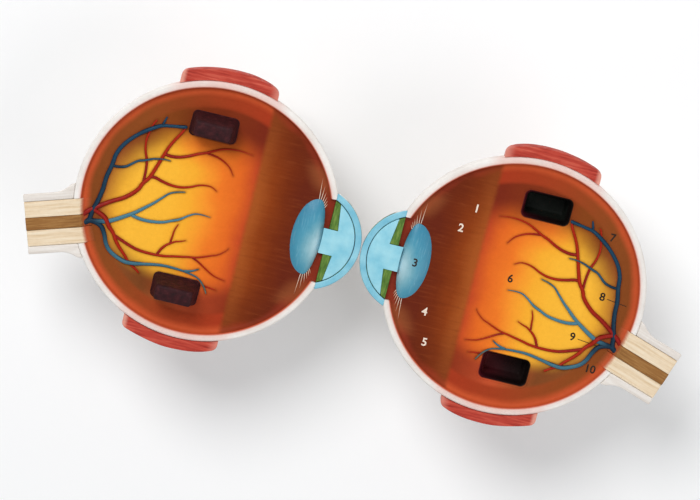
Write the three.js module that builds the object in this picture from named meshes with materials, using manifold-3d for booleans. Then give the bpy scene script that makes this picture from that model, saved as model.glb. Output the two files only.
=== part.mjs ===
// An eye anatomy model: a soft foam eyeball that comes apart into two halves.
// The halves lie open on a table, cut faces up, with their corneas towards the middle.
// Units are millimetres and +Z is up. A half is drawn about its own eyeball centre: its cut
// face is the plane z = 0, its cornea points to -X and its optic nerve to +X. The labelled
// half is set down like that, and the plain half is its mirror image.
import * as THREE from 'three';
import { mergeVertices } from 'three/addons/utils/BufferGeometryUtils.js';
import Module from 'manifold-3d';

const wasm = await Module();
wasm.setup();

// Running gap between neighbouring pieces, and between the two corneas, which touch on the table
const GAP = 0.3;

// Eyeball and the layers of its wall, from the outside in
const EYEBALL_RADIUS = 50;
const SCLERA_WALL = 3;
const CHOROID_WALL = 3.2;
const RETINA_WALL = 2.9;

// Depth of the coloured inside below the white rim of the cut face
const RECESS_DEPTH = 2.4;

// Where the brown front zone ends and the vitreous body begins
const ORA_X = -15.5;

// Cornea and the opening in the sclera that it covers
const LIMBUS_RADIUS = 19;
const LIMBUS_LIP = 2.6;
const CORNEA_RISE = 13.3;
const CORNEA_WALL = 2.5;

// Iris: its thickness at the pupil and at its root
const PUPIL_RADIUS = 5;
const IRIS_EDGE = 3.4;
const IRIS_ROOT = 1.6;

// Lens: set back from the limbus, and standing a little proud of the brown zone
const LENS_RADIUS = 15;
const LENS_FRONT_SAG = 3.9;
const LENS_BACK_SAG = 7.5;
const LENS_SETBACK = 1.8;
const LENS_RISE = 1.4;

// Optic nerve: a stub with a flared sheath, and a core along its middle
const NERVE_ANGLE = THREE.MathUtils.degToRad(-18);
const NERVE_REACH = 68;
const SHEATH_RADIUS = 11.5;
const SHEATH_WALL = 2.7;
const FLARE_WIDTH = 3;
const FLARE_LENGTH = 6;
const CORE_RADIUS = 2.4;

// Rectus muscles: slabs on the eyeball, rounded at the front, where they grow from the sclera
const MUSCLE_THICKNESS = 4.2;
const MUSCLE_WIDTH = 33;
const MUSCLE_FRONT_X = -16;
const MUSCLE_BACK_X = 21;
const MUSCLE_FRONT_CORNER = 12;
const MUSCLE_BACK_CORNER = 2;

// Flat foot cut into the lowest muscle
const FOOT_CUT = 1.5;

// Sockets in the labelled half, narrower at the bottom. Each has a wall of the vitreous body
// between its outer corner and the retina.
const SOCKET_LENGTH = 18;
const SOCKET_WIDTH = 10;
const SOCKET_CORNER = 2;
const SOCKET_DEPTH = 12;
const SOCKET_TAPER = 1.6;
const SOCKET_WALL = 1.13;
const SOCKET_X = 4.6;

// Pegs on the plain half: how loosely they fit the sockets, at the sides and at the tip
const PEG_CLEARANCE = 0.4;
const PEG_TIP_ROOM = 2;

// Blood vessels: raised ridges with a flat underside
const TRUNK_WIDTH = 1.9;
const BRANCH_WIDTH = 1.35;
const TWIG_WIDTH = 0.9;
const TIP_WIDTH = 0.5;
const VESSEL_FLATNESS = 0.4;

// A vessel's section from side to side, in half widths across and heights up
const VESSEL_ARCH = [[1, 0], [0.55, 1], [-0.55, 1], [-1, 0]];

// How near a vein comes to an artery before it starts to climb, and where it is right over it
const CLIMB_START = 4.2;
const CLIMB_END = 1.7;

// How near the middle of a vessel may come to a socket
const VESSEL_DETOUR = 1.3;

// Arteries, each as a list of places on the cut face from its root to its tip. The places are
// shares of the vitreous body's radius, from the eyeball's centre, so that they follow it.
const ARTERIES = [
  { width: TRUNK_WIDTH, points: [[1.062, -0.25], [0.985, -0.19], [0.89, -0.125], [0.772, -0.055],
    [0.672, 0.045], [0.64, 0.115], [0.595, 0.178], [0.562, 0.265], [0.522, 0.39], [0.485, 0.5],
    [0.445, 0.585], [0.382, 0.695]] },
  { width: BRANCH_WIDTH, points: [[0.64, 0.125], [0.64, 0.217], [0.653, 0.328], [0.688, 0.428],
    [0.702, 0.53], [0.688, 0.615], [0.665, 0.702], [0.648, 0.732]] },
  { width: BRANCH_WIDTH, points: [[0.59, 0.19], [0.548, 0.195], [0.47, 0.175], [0.375, 0.158],
    [0.28, 0.162], [0.202, 0.185], [0.125, 0.22], [0.048, 0.235], [0, 0.23], [-0.048, 0.205]] },
  { width: BRANCH_WIDTH, points: [[0.508, 0.435], [0.438, 0.428], [0.36, 0.44], [0.28, 0.47],
    [0.202, 0.51], [0.132, 0.538], [0.062, 0.575], [-0.015, 0.61], [-0.095, 0.628], [-0.188, 0.633],
    [-0.298, 0.62]] },
  { width: TWIG_WIDTH, points: [[0.132, 0.538], [0.062, 0.53], [0, 0.517], [-0.062, 0.49],
    [-0.118, 0.45], [-0.165, 0.385]] },
  { width: TRUNK_WIDTH, points: [[1.047, -0.24], [0.985, -0.255], [0.905, -0.295], [0.852, -0.368],
    [0.805, -0.415], [0.765, -0.478], [0.72, -0.532], [0.655, -0.595], [0.595, -0.658],
    [0.53, -0.698]] },
  { width: BRANCH_WIDTH, points: [[0.79, -0.435], [0.72, -0.462], [0.64, -0.492], [0.562, -0.515],
    [0.47, -0.525], [0.375, -0.525], [0.28, -0.517], [0.202, -0.5], [0.125, -0.485],
    [0.062, -0.472], [0, -0.462], [-0.062, -0.442], [-0.14, -0.41], [-0.202, -0.385],
    [-0.273, -0.325], [-0.285, -0.305]] },
  { width: TWIG_WIDTH, points: [[0.03, -0.468], [-0.03, -0.492], [-0.095, -0.53], [-0.155, -0.565],
    [-0.22, -0.595], [-0.32, -0.615]] },
  { width: TWIG_WIDTH, points: [[0.36, -0.522], [0.328, -0.455], [0.29, -0.408], [0.258, -0.385],
    [0.22, -0.36], [0.172, -0.345], [0.123, -0.325]] },
  { width: TWIG_WIDTH, points: [[0.262, -0.39], [0.255, -0.315], [0.248, -0.25], [0.227, -0.19]] },
];

// Veins, in the same way
const VEINS = [
  { width: TRUNK_WIDTH, points: [[1.055, -0.345], [1.04, -0.25], [1.015, -0.158], [0.992, -0.032],
    [0.985, 0.092], [0.96, 0.217], [0.945, 0.328], [0.905, 0.42], [0.845, 0.5], [0.765, 0.578],
    [0.672, 0.648], [0.595, 0.69], [0.5, 0.71], [0.415, 0.725], [0.328, 0.735]] },
  { width: TWIG_WIDTH, points: [[0.585, 0.695], [0.578, 0.732], [0.562, 0.785]] },
  { width: BRANCH_WIDTH, points: [[0.962, 0.21], [0.89, 0.215], [0.828, 0.235], [0.772, 0.28],
    [0.735, 0.31], [0.672, 0.335], [0.595, 0.365], [0.515, 0.385], [0.438, 0.385]] },
  { width: TRUNK_WIDTH, points: [[1.047, -0.352], [0.97, -0.338], [0.89, -0.322], [0.812, -0.283],
    [0.735, -0.235], [0.688, -0.205], [0.625, -0.158], [0.562, -0.102], [0.5, -0.048],
    [0.438, 0.015], [0.375, 0.078], [0.312, 0.108], [0.235, 0.128]] },
  { width: BRANCH_WIDTH, points: [[0.68, -0.205], [0.61, -0.222], [0.53, -0.227], [0.452, -0.22],
    [0.375, -0.205], [0.298, -0.172], [0.22, -0.135], [0.155, -0.088], [0.095, -0.055],
    [0.03, -0.048], [-0.048, -0.053]] },
  { width: TRUNK_WIDTH, points: [[1.04, -0.352], [0.97, -0.36], [0.922, -0.385], [0.882, -0.447],
    [0.845, -0.532], [0.798, -0.588], [0.735, -0.625], [0.64, -0.655], [0.53, -0.65],
    [0.438, -0.635], [0.345, -0.617], [0.25, -0.608], [0.155, -0.61], [0.078, -0.615],
    [0.015, -0.625], [-0.048, -0.64], [-0.102, -0.67], [-0.148, -0.718], [-0.18, -0.775]] },
  { width: TWIG_WIDTH, points: [[0.078, -0.615], [0.015, -0.6], [-0.03, -0.58], [-0.06, -0.56]] },
];

// Fineness of the round forms
const BALL_SIDES = 28;
const BALL_STEPS = 14;
const CORNER_STEPS = 3;
const LENS_STEPS = 5;
const FLARE_STEPS = 3;
const VESSEL_STEP = 2.4;
const MIN_VESSEL_STEPS = 3;

// Half the size of a block that cuts a piece, well beyond the model
const FAR = 4 * EYEBALL_RADIUS;

// Radii of the layers, one inside the other
const choroidRadius = EYEBALL_RADIUS - SCLERA_WALL - GAP;
const retinaRadius = choroidRadius - CHOROID_WALL - GAP;
const vitreousRadius = retinaRadius - RETINA_WALL - GAP;
const muscleRadius = EYEBALL_RADIUS + GAP + MUSCLE_THICKNESS;

// The limbus is the circle where the cornea meets the sclera
const limbusX = -Math.sqrt(EYEBALL_RADIUS ** 2 - LIMBUS_RADIUS ** 2);
const limbusOpening = LIMBUS_RADIUS - LIMBUS_LIP;
const corneaRadius = (LIMBUS_RADIUS ** 2 + CORNEA_RISE ** 2) / (2 * CORNEA_RISE);
const corneaCentreX = limbusX - CORNEA_RISE + corneaRadius;
const chamberRadius = corneaRadius - CORNEA_WALL - GAP;
const lensFrontX = limbusX + LENS_SETBACK;
const nerveRadius = SHEATH_RADIUS - SHEATH_WALL - GAP;
const footZ = FOOT_CUT - muscleRadius;

// Middle of a socket across the cut face: its outer corner leaves the wall to the retina
const socketCornerX = SOCKET_X + SOCKET_LENGTH / 2 - SOCKET_CORNER;
const socketCornerY = Math.sqrt((vitreousRadius - SOCKET_WALL - SOCKET_CORNER) ** 2 - socketCornerX ** 2);
const socketY = socketCornerY + SOCKET_CORNER - SOCKET_WIDTH / 2;

// A geometry as a solid that can be cut and joined
function solidOf(geometry) {
  const bare = geometry.clone();
  bare.deleteAttribute('normal');
  bare.deleteAttribute('uv');
  const merged = mergeVertices(bare);
  const corners = merged.index.array;
  const kept = [];
  for (let i = 0; i < corners.length; i += 3) {
    const [a, b, c] = corners.slice(i, i + 3);
    if (a !== b && b !== c && c !== a) kept.push(a, b, c);
  }
  return new wasm.Manifold(new wasm.Mesh({
    numProp: 3,
    vertProperties: new Float32Array(merged.attributes.position.array),
    triVerts: new Uint32Array(kept),
  }));
}

// A solid as a geometry, mirrored left to right if asked
function geometryOf(solid, mirrored) {
  const { numProp, vertProperties, triVerts } = solid.getMesh();
  const positions = Float32Array.from(vertProperties);
  const corners = Uint32Array.from(triVerts);
  if (mirrored) {
    for (let i = 0; i < positions.length; i += numProp) positions[i] = -positions[i];
    corners.reverse();
  }
  const geometry = new THREE.BufferGeometry();
  geometry.setAttribute('position', new THREE.BufferAttribute(positions, numProp));
  geometry.setIndex(new THREE.BufferAttribute(corners, 1));
  geometry.computeVertexNormals();
  return geometry;
}

// A turned solid about the X axis, or about the nerve's axis. The outline runs along the axis
// as [distance along it, radius], from one end on the axis to the other.
function turned(outline, angle = 0) {
  const points = outline.map(([along, radius]) => new THREE.Vector2(radius, along));
  const geometry = new THREE.LatheGeometry(points, BALL_SIDES);
  geometry.rotateZ(-Math.PI / 2);
  geometry.rotateZ(angle);
  return solidOf(geometry);
}

// A ball with its poles on the X axis
function ball(radius, centreX = 0) {
  const outline = [];
  for (let i = 0; i <= BALL_STEPS; i += 1) {
    const turn = (Math.PI * i) / BALL_STEPS;
    outline.push([centreX - radius * Math.cos(turn), radius * Math.sin(turn)]);
  }
  return turned(outline);
}

// A round bar from one distance along an axis to another
function rod(radius, from, to, angle = 0) {
  return turned([[from, 0], [from, radius], [to, radius], [to, 0]], angle);
}

// A block between two corners
function block(low, high) {
  const size = high.map((value, i) => value - low[i]);
  const geometry = new THREE.BoxGeometry(...size);
  geometry.translate(...high.map((value, i) => (value + low[i]) / 2));
  return solidOf(geometry);
}

// The part of space under a level, between two places along the X axis
function under(level, fromX = -FAR, toX = FAR) {
  return block([fromX, -FAR, -FAR], [toX, FAR, level]);
}

// A rectangle with round corners, whose radius may differ at its two ends
function roundedOutline(fromX, toX, halfWidth, fromCorner, toCorner) {
  const quarter = Math.PI / 2;
  const shape = new THREE.Shape();
  shape.absarc(fromX + fromCorner, halfWidth - fromCorner, fromCorner, quarter, 2 * quarter);
  shape.absarc(fromX + fromCorner, fromCorner - halfWidth, fromCorner, 2 * quarter, 3 * quarter);
  shape.absarc(toX - toCorner, toCorner - halfWidth, toCorner, 3 * quarter, 4 * quarter);
  shape.absarc(toX - toCorner, halfWidth - toCorner, toCorner, 0, quarter);
  return shape;
}

// An upright form over a socket's place, narrower at its top or at its bottom end. Its outline
// is the socket's, made wider by an allowance on every side, or narrower by a negative one.
function socketForm(side, allowance, low, high, narrowsUpwards) {
  const halfLength = SOCKET_LENGTH / 2 + allowance;
  const halfWidth = SOCKET_WIDTH / 2 + allowance;
  const corner = SOCKET_CORNER + allowance;
  const outline = roundedOutline(-halfLength, halfLength, halfWidth, corner, corner);
  const geometry = new THREE.ExtrudeGeometry(outline, {
    depth: high - low,
    bevelEnabled: false,
    curveSegments: CORNER_STEPS,
  });
  const spot = geometry.attributes.position;
  for (let i = 0; i < spot.count; i += 1) {
    const share = spot.getZ(i) / (high - low);
    const shrink = SOCKET_TAPER * (narrowsUpwards ? share : 1 - share);
    spot.setX(i, spot.getX(i) * (1 - shrink / halfLength));
    spot.setY(i, spot.getY(i) * (1 - shrink / halfWidth));
  }
  geometry.translate(SOCKET_X, side * socketY, low);
  return solidOf(geometry);
}

// The way through the wall of the eyeball for the optic nerve
function nervePassage() {
  return rod(nerveRadius + GAP, vitreousRadius, NERVE_REACH, NERVE_ANGLE);
}

// The white outer coat, open at the front and where the nerve leaves
function sclera() {
  const shell = ball(EYEBALL_RADIUS).subtract(ball(EYEBALL_RADIUS - SCLERA_WALL));
  return shell
    .subtract(rod(limbusOpening, -FAR, 0))
    .subtract(nervePassage())
    .intersect(under(0, limbusX));
}

// The dark layer inside the sclera, behind the brown front zone
function choroid() {
  return ball(choroidRadius)
    .subtract(ball(choroidRadius - CHOROID_WALL))
    .subtract(nervePassage())
    .intersect(under(-RECESS_DEPTH, ORA_X));
}

// The innermost layer of the wall
function retina() {
  return ball(retinaRadius)
    .subtract(ball(retinaRadius - RETINA_WALL))
    .intersect(under(-RECESS_DEPTH, ORA_X));
}

// The yellow and orange filling of the eyeball
function vitreous(hasSockets) {
  const filling = ball(vitreousRadius).intersect(under(-RECESS_DEPTH, ORA_X));
  if (!hasSockets) return filling;
  return filling
    .subtract(socketForm(1, 0, -SOCKET_DEPTH, 0, false))
    .subtract(socketForm(-1, 0, -SOCKET_DEPTH, 0, false));
}

// The lens, grown by an allowance on every side
function lensForm(allowance) {
  const radius = LENS_RADIUS + allowance;
  const frontSag = LENS_FRONT_SAG + allowance;
  const backSag = LENS_BACK_SAG + allowance;
  const equatorX = lensFrontX + LENS_FRONT_SAG;
  const outline = [];
  for (let i = 0; i <= LENS_STEPS; i += 1) {
    const turn = (Math.PI / 2) * (i / LENS_STEPS);
    outline.push([equatorX - frontSag * Math.cos(turn), radius * Math.sin(turn)]);
  }
  for (let i = 1; i <= LENS_STEPS; i += 1) {
    const turn = (Math.PI / 2) * (1 - i / LENS_STEPS);
    outline.push([equatorX + backSag * Math.cos(turn), radius * Math.sin(turn)]);
  }
  return turned(outline);
}

function lens() {
  return lensForm(0).intersect(under(LENS_RISE - RECESS_DEPTH));
}

// The brown front zone: ciliary body and zonules round the lens
function ciliaryBody() {
  return ball(choroidRadius)
    .add(rod(limbusOpening - GAP, limbusX, ORA_X))
    .subtract(lensForm(GAP))
    .subtract(rod(PUPIL_RADIUS, -FAR, lensFrontX + LENS_FRONT_SAG))
    .intersect(under(-RECESS_DEPTH, limbusX + GAP, ORA_X - GAP));
}

// A disc with the iris's cone-shaped front, moved forwards by an allowance
function irisForm(allowance) {
  const edgeX = limbusX - IRIS_EDGE - allowance;
  const rootX = limbusX - IRIS_ROOT - allowance;
  return turned([[edgeX, 0], [edgeX, PUPIL_RADIUS], [rootX, LIMBUS_RADIUS],
    [limbusX, LIMBUS_RADIUS], [limbusX, 0]]);
}

// The iris, a ring round the pupil inside the cornea's foot
function iris() {
  return irisForm(0)
    .subtract(rod(PUPIL_RADIUS, -FAR, 0))
    .intersect(ball(chamberRadius, corneaCentreX))
    .intersect(under(0));
}

// The light blue filling between cornea and iris, which reaches the lens through the pupil
function aqueous() {
  const pupil = rod(PUPIL_RADIUS - GAP, limbusX - IRIS_EDGE - 2 * GAP, lensFrontX + LENS_FRONT_SAG);
  return ball(chamberRadius, corneaCentreX)
    .intersect(under(0, -FAR, limbusX))
    .subtract(irisForm(GAP))
    .add(pupil)
    .subtract(lensForm(GAP))
    .intersect(under(0));
}

// The clear dome at the front
function cornea() {
  return ball(corneaRadius, corneaCentreX)
    .subtract(ball(corneaRadius - CORNEA_WALL, corneaCentreX))
    .intersect(under(0, -FAR, limbusX - GAP));
}

// What the recess takes from the nerve where it passes the wall of the eyeball
function nerveRecess() {
  const radius = EYEBALL_RADIUS - SCLERA_WALL;
  return ball(radius).intersect(block([-FAR, -FAR, -RECESS_DEPTH], [FAR, FAR, FAR]));
}

// The nerve's outer sheath, which flares onto the sclera
function nerveSheath() {
  const outline = [[vitreousRadius, 0], [vitreousRadius, SHEATH_RADIUS + FLARE_WIDTH]];
  for (let i = 0; i <= FLARE_STEPS; i += 1) {
    const share = i / FLARE_STEPS;
    const along = EYEBALL_RADIUS + FLARE_LENGTH * share;
    outline.push([along, SHEATH_RADIUS + FLARE_WIDTH * (1 - share) ** 2]);
  }
  outline.push([NERVE_REACH, SHEATH_RADIUS], [NERVE_REACH, 0]);
  return turned(outline, NERVE_ANGLE)
    .subtract(ball(EYEBALL_RADIUS + GAP))
    .subtract(rod(nerveRadius + GAP, 0, FAR, NERVE_ANGLE))
    .intersect(under(0));
}

// The nerve's fibres, from the back of the retina to the cut end
function nerveFibres() {
  return rod(nerveRadius, vitreousRadius, NERVE_REACH, NERVE_ANGLE)
    .subtract(rod(CORE_RADIUS + GAP, 0, FAR, NERVE_ANGLE))
    .subtract(ball(retinaRadius + GAP))
    .subtract(nerveRecess())
    .intersect(under(0));
}

// The vessels that run along the nerve's middle
function nerveCore() {
  return rod(CORE_RADIUS, vitreousRadius, NERVE_REACH, NERVE_ANGLE)
    .subtract(ball(retinaRadius + GAP))
    .subtract(nerveRecess())
    .intersect(under(0));
}

// A rectus muscle on the side of the eyeball that a turn about the X axis brings to +Z
function muscle(turnX) {
  const outline = roundedOutline(MUSCLE_FRONT_X, MUSCLE_BACK_X, MUSCLE_WIDTH / 2,
    MUSCLE_FRONT_CORNER, MUSCLE_BACK_CORNER);
  const geometry = new THREE.ExtrudeGeometry(outline, {
    depth: FAR,
    bevelEnabled: false,
    curveSegments: CORNER_STEPS,
  });
  geometry.rotateX(turnX);
  return ball(muscleRadius)
    .subtract(ball(EYEBALL_RADIUS + GAP))
    .intersect(solidOf(geometry))
    .intersect(under(0));
}

// The muscle that the half rests on, with its flat foot
function footMuscle() {
  return muscle(Math.PI).intersect(block([-FAR, -FAR, footZ], [FAR, FAR, FAR]));
}

// A place on the cut face, moved away from the socket on its side if it is too near
function clearOfSocket([x, y]) {
  const place = new THREE.Vector3(x * vitreousRadius, y * vitreousRadius, 0);
  const middle = new THREE.Vector3(SOCKET_X, y < 0 ? -socketY : socketY, 0);
  const reach = new THREE.Vector3(SOCKET_LENGTH / 2, SOCKET_WIDTH / 2, 0).subScalar(SOCKET_CORNER);
  const nearest = place.clone().clamp(middle.clone().sub(reach), middle.clone().add(reach)).setZ(0);
  const distance = Math.max(SOCKET_CORNER + VESSEL_DETOUR, place.distanceTo(nearest));
  return nearest.add(place.sub(nearest).setLength(distance));
}

// A vessel's route over the cut face
function routeThrough(points) {
  return new THREE.CatmullRomCurve3(points.map(clearOfSocket));
}

// Points along every artery, for the veins to climb over
const arteryPoints = ARTERIES.flatMap(({ points }) => {
  const route = routeThrough(points);
  return route.getSpacedPoints(Math.ceil(route.getLength()));
});

// How far a vein is lifted at a place, so that it passes over the arteries
function climb(place) {
  const distance = Math.min(...arteryPoints.map((point) => point.distanceTo(place)));
  const share = (CLIMB_START - distance) / (CLIMB_START - CLIMB_END);
  const height = TRUNK_WIDTH * VESSEL_FLATNESS + GAP;
  return height * THREE.MathUtils.clamp(share, 0, 1);
}

// One vessel: a row of flat-bottomed arches along its route, closed at both ends
function vessel({ width, points }, liftOf) {
  const route = routeThrough(points);
  const steps = Math.max(MIN_VESSEL_STEPS, Math.round(route.getLength() / VESSEL_STEP));
  const positions = [];
  const corners = [];
  for (let i = 0; i <= steps; i += 1) {
    const share = i / steps;
    const centre = route.getPointAt(share);
    const along = route.getTangentAt(share);
    const floor = GAP - RECESS_DEPTH + liftOf(centre);
    const halfWidth = THREE.MathUtils.lerp(width, TIP_WIDTH, share) / 2;
    for (const [across, up] of VESSEL_ARCH) {
      positions.push(
        centre.x + along.y * across * halfWidth,
        centre.y - along.x * across * halfWidth,
        floor + up * 2 * halfWidth * VESSEL_FLATNESS,
      );
    }
  }
  const count = VESSEL_ARCH.length;
  for (let i = 0; i < steps; i += 1) {
    for (let j = 0; j < count; j += 1) {
      const next = (j + 1) % count;
      const here = i * count;
      const there = here + count;
      corners.push(here + j, there + j, here + next, here + next, there + j, there + next);
    }
  }
  const last = steps * count;
  for (let j = 1; j < count - 1; j += 1) {
    corners.push(0, j, j + 1);
    corners.push(last, last + j + 1, last + j);
  }
  const geometry = new THREE.BufferGeometry();
  geometry.setAttribute('position', new THREE.Float32BufferAttribute(positions, 3));
  geometry.setIndex(corners);
  return solidOf(geometry);
}

// All vessels of one kind as one tree
function vesselTree(vessels, liftOf) {
  return vessels.map((one) => vessel(one, liftOf)).reduce((all, one) => all.add(one));
}

// A peg that stands on the plain half and fits the socket opposite it
function peg(side) {
  return socketForm(side, -PEG_CLEARANCE, GAP - RECESS_DEPTH, SOCKET_DEPTH - PEG_TIP_ROOM, true);
}

// Finishes of the foam's painted areas
const finish = (color, roughness) => new THREE.MeshStandardMaterial({ color, roughness, metalness: 0 });
const FINISHES = {
  sclera: finish('#e6ded8', 0.7),
  choroid: finish('#7a2f1c', 0.7),
  retina: finish('#b4552c', 0.7),
  vitreous: finish('#f2a634', 0.65),
  ciliary_body: finish('#6e2a16', 0.7),
  lens: finish('#4f9fbb', 0.45),
  iris: finish('#5a7d34', 0.6),
  aqueous_humour: finish('#7cc0d6', 0.5),
  cornea: finish('#64b4cf', 0.45),
  nerve: finish('#ebd7be', 0.7),
  nerve_core: finish('#8f6436', 0.7),
  arteries: finish('#a51e14', 0.6),
  veins: finish('#2a6480', 0.6),
  muscle: finish('#b84438', 0.65),
  peg: finish('#2a1114', 0.75),
};

// One half of the eye, as a group of named pieces about its eyeball centre
function eyeHalf(prefix, isLabelled) {
  const half = new THREE.Group();
  const place = (name, finishName, solid) => {
    const mesh = new THREE.Mesh(geometryOf(solid, !isLabelled), FINISHES[finishName].clone());
    mesh.name = `${prefix}_${name}`;
    half.add(mesh);
  };
  place('sclera', 'sclera', sclera());
  place('choroid', 'choroid', choroid());
  place('retina', 'retina', retina());
  place('vitreous', 'vitreous', vitreous(isLabelled));
  place('ciliary_body', 'ciliary_body', ciliaryBody());
  place('lens', 'lens', lens());
  place('iris', 'iris', iris());
  place('aqueous_humour', 'aqueous_humour', aqueous());
  place('cornea', 'cornea', cornea());
  place('nerve_sheath', 'sclera', nerveSheath());
  place('nerve_fibres', 'nerve', nerveFibres());
  place('nerve_core', 'nerve_core', nerveCore());
  place('arteries', 'arteries', vesselTree(ARTERIES, () => 0));
  place('veins', 'veins', vesselTree(VEINS, climb));
  place('superior_rectus', 'muscle', muscle(-Math.PI / 2));
  place('inferior_rectus', 'muscle', muscle(Math.PI / 2));
  place(isLabelled ? 'medial_rectus' : 'lateral_rectus', 'muscle', footMuscle());
  if (!isLabelled) {
    place('upper_peg', 'peg', peg(1));
    place('lower_peg', 'peg', peg(-1));
  }
  const offset = GAP / 2 - (corneaCentreX - corneaRadius);
  half.position.set(isLabelled ? offset : -offset, 0, -footZ);
  return half;
}

const group = new THREE.Group();
group.add(eyeHalf('labelled', true));
group.add(eyeHalf('plain', false));

export default group;
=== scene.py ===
"""Looks of the eye anatomy model: soft painted foam, in two halves that lie open on a table."""
from functools import partialmethod
from math import acos, asin, copysign, cos, hypot, pi, radians, sin, sqrt

import bmesh
import bpy
import numpy as np
from mathutils import Matrix, Vector
from mathutils.geometry import delaunay_2d_cdt
from mathutils.kdtree import KDTree


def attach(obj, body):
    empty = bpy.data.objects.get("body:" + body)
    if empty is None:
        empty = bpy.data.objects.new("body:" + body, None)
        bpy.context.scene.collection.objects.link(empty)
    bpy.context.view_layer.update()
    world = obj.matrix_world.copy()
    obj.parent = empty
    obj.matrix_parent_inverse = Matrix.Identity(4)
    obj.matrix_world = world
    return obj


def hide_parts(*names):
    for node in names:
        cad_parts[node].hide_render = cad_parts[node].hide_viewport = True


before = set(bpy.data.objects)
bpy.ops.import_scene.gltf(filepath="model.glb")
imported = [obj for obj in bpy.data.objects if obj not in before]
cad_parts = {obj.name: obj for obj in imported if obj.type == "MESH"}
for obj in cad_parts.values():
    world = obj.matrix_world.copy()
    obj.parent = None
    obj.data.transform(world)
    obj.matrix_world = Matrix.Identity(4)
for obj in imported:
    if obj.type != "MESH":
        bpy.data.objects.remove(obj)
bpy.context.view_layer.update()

# Where a half's eyeball centre lies, in millimetres. Every shape below is drawn about it, in
# millimetres, with the cornea at -X. The plain half is the mirror image.
CENTRE_X = 59.699
FACE_Z = 53.0
SIDES = {"labelled": 1, "plain": -1}
MM = 0.001

# Radii of the eyeball and its layers. A pair is a layer's inside and outside.
EYEBALL = 50
RIM_INSIDE = 47
CHOROID = (43.41, 46.98)
RETINA = (40.16, 43.4)
VITREOUS = 40.15
# The coloured inside of the cut face: its depth at the wall, how much it is dished, and the
# radius with which it turns up to the wall
RECESS = 2.0
RECESS_DISH = 0.8
RECESS_ROUND = 1.5
# Where the brown front zone ends, where the cornea starts, half the width of its opening, and
# the place in front of which the opening's edges are the recess's wall
ORA_X = -15.5
LIMBUS_X = -46.249
LIMBUS_OPENING = 16.4
OPENING_X = -40
# The cornea's centre and radii, and the radii of the chamber inside it and of the pupil
CORNEA_CENTRE_X = -39.33
CORNEA_OUTSIDE = 20.22
CORNEA_INSIDE = 17.72
CHAMBER = 17.55
PUPIL = 5
# The iris's outer edge, how far its inner edge lies in front of the limbus, and its slope
IRIS_EDGE = 14.6
IRIS_DEPTH = 3.4
IRIS_SLOPE = 1.8 / 14
# The lens: its middle, its radius, and how far it reaches in front and behind
LENS_EQUATOR_X = -40.549
LENS_RADIUS = 15
LENS_FRONT = 3.9
LENS_BACK = 7.5
# The lens's domed cut face: its height at the edge, how far it rises, and over what share
LENS_EDGE_Z = -2.3
LENS_DOME = 2.05
LENS_DOME_SHARE = 0.75
# The optic nerve runs out at an angle below X. Its sheath flares towards the eyeball.
NERVE_ANGLE = radians(-18)
NERVE_REACH = 68
SHEATH = 11.5
SHEATH_FLARE = 3
FLARE_REACH = (49.2, 56.5)
NERVE = 8.5
CORE = 2.4
# Where the nerve's cut face starts to rise from the recess, how far on it is level, and how high
RISE_START = 45.2
RISE_LENGTH = 2.4
NERVE_LEVEL = -0.12
# A muscle's outline, as seen from outside the eyeball, its rounded edge, how much thinner it is
# at the front, over what length, and the height of its fibres
MUSCLE_OUTSIDE = 54.5
MUSCLE_FRONT, MUSCLE_BACK, MUSCLE_HALF = -16.0, 21.0, 16.5
FRONT_CORNER, BACK_CORNER = 12.0, 2.0
MUSCLE_ROUND = 1.5
MUSCLE_THINNING = 1.1
THINNING_LENGTH = 12
MUSCLE_FIBRE = 0.16
# The sockets, and how much wider they and the pegs are than the mouth, level by level
SOCKET_X = 4.6
SOCKET_Y = 32
SOCKET_HALF = (9, 5)
SOCKET_CORNER = 2
SOCKET_LEVELS = [(-12, -2.5), (-11.85, -2.15), (-11.5, -1.86), (-11, -1.7), (-7, -0.98),
                 (-3.35, -0.32), (-3.0, -0.12), (-2.8, 0.06), (-2.64, 0.3), (-2.54, 0.62),
                 (-2.5, 1.0), (0, 1.6)]
PEG_CLEARANCE = 0.4
PEG_LEVELS = [(-2.9, 0.75), (-2.45, 0.5), (-2.2, 0.2), (-1.9, 0.04), (-1.5, -0.08), (2, -0.7),
              (6, -1.23), (8.6, -1.5), (9.2, -1.62), (9.6, -1.85), (9.88, -2.25), (10, -2.8)]
# Room round a piece in the one that it lies in, and a distance beyond every shape
ROOM = 0.12
FAR = 80
# The sides of X and Y on which the four quarters of a plane lie, in turn
QUARTERS = ((1, 1), (-1, 1), (-1, -1), (1, -1))

# Plain numbers where the face is labelled, and the two leader lines. Ink stands a little proud
# of the surface and reaches a little into it.
NUMBER_HEIGHT = 3.0
CAPITAL_SHARE = 0.7
INK_TOP = 0.06
INK_FOOT = -0.12
LEADER_WIDTH = 0.26
PALE_NUMBERS = [("1", (-21, 25.4)), ("2", (-25, 16.8)), ("4", (-30.3, -17.8)),
                ("5", (-27.5, -29.3))]
LENS_NUMBER = ("3", (-38.6, 0))
DARK_NUMBERS = [("6", (-2, 2.3)), ("7", (31.4, 26.9)), ("8", (33.5, 3.9)),
                ("9", (26.5, -13.8)), ("10", (36.1, -24.3))]
LEADERS = [((35.4, 3.6), (43.2, 2.6)), ((28.6, -14.1), (37.4, -15.0))]

# Vessels take the source's routes: widths at root and tip, and the X and Y of each place in
# turn, in thousandths of VESSEL_SCALE. They pass the sockets at VESSEL_DETOUR or more.
VESSEL_SCALE = 40
VESSEL_DETOUR = 0.75
PATH_SPACING = 0.45
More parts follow.
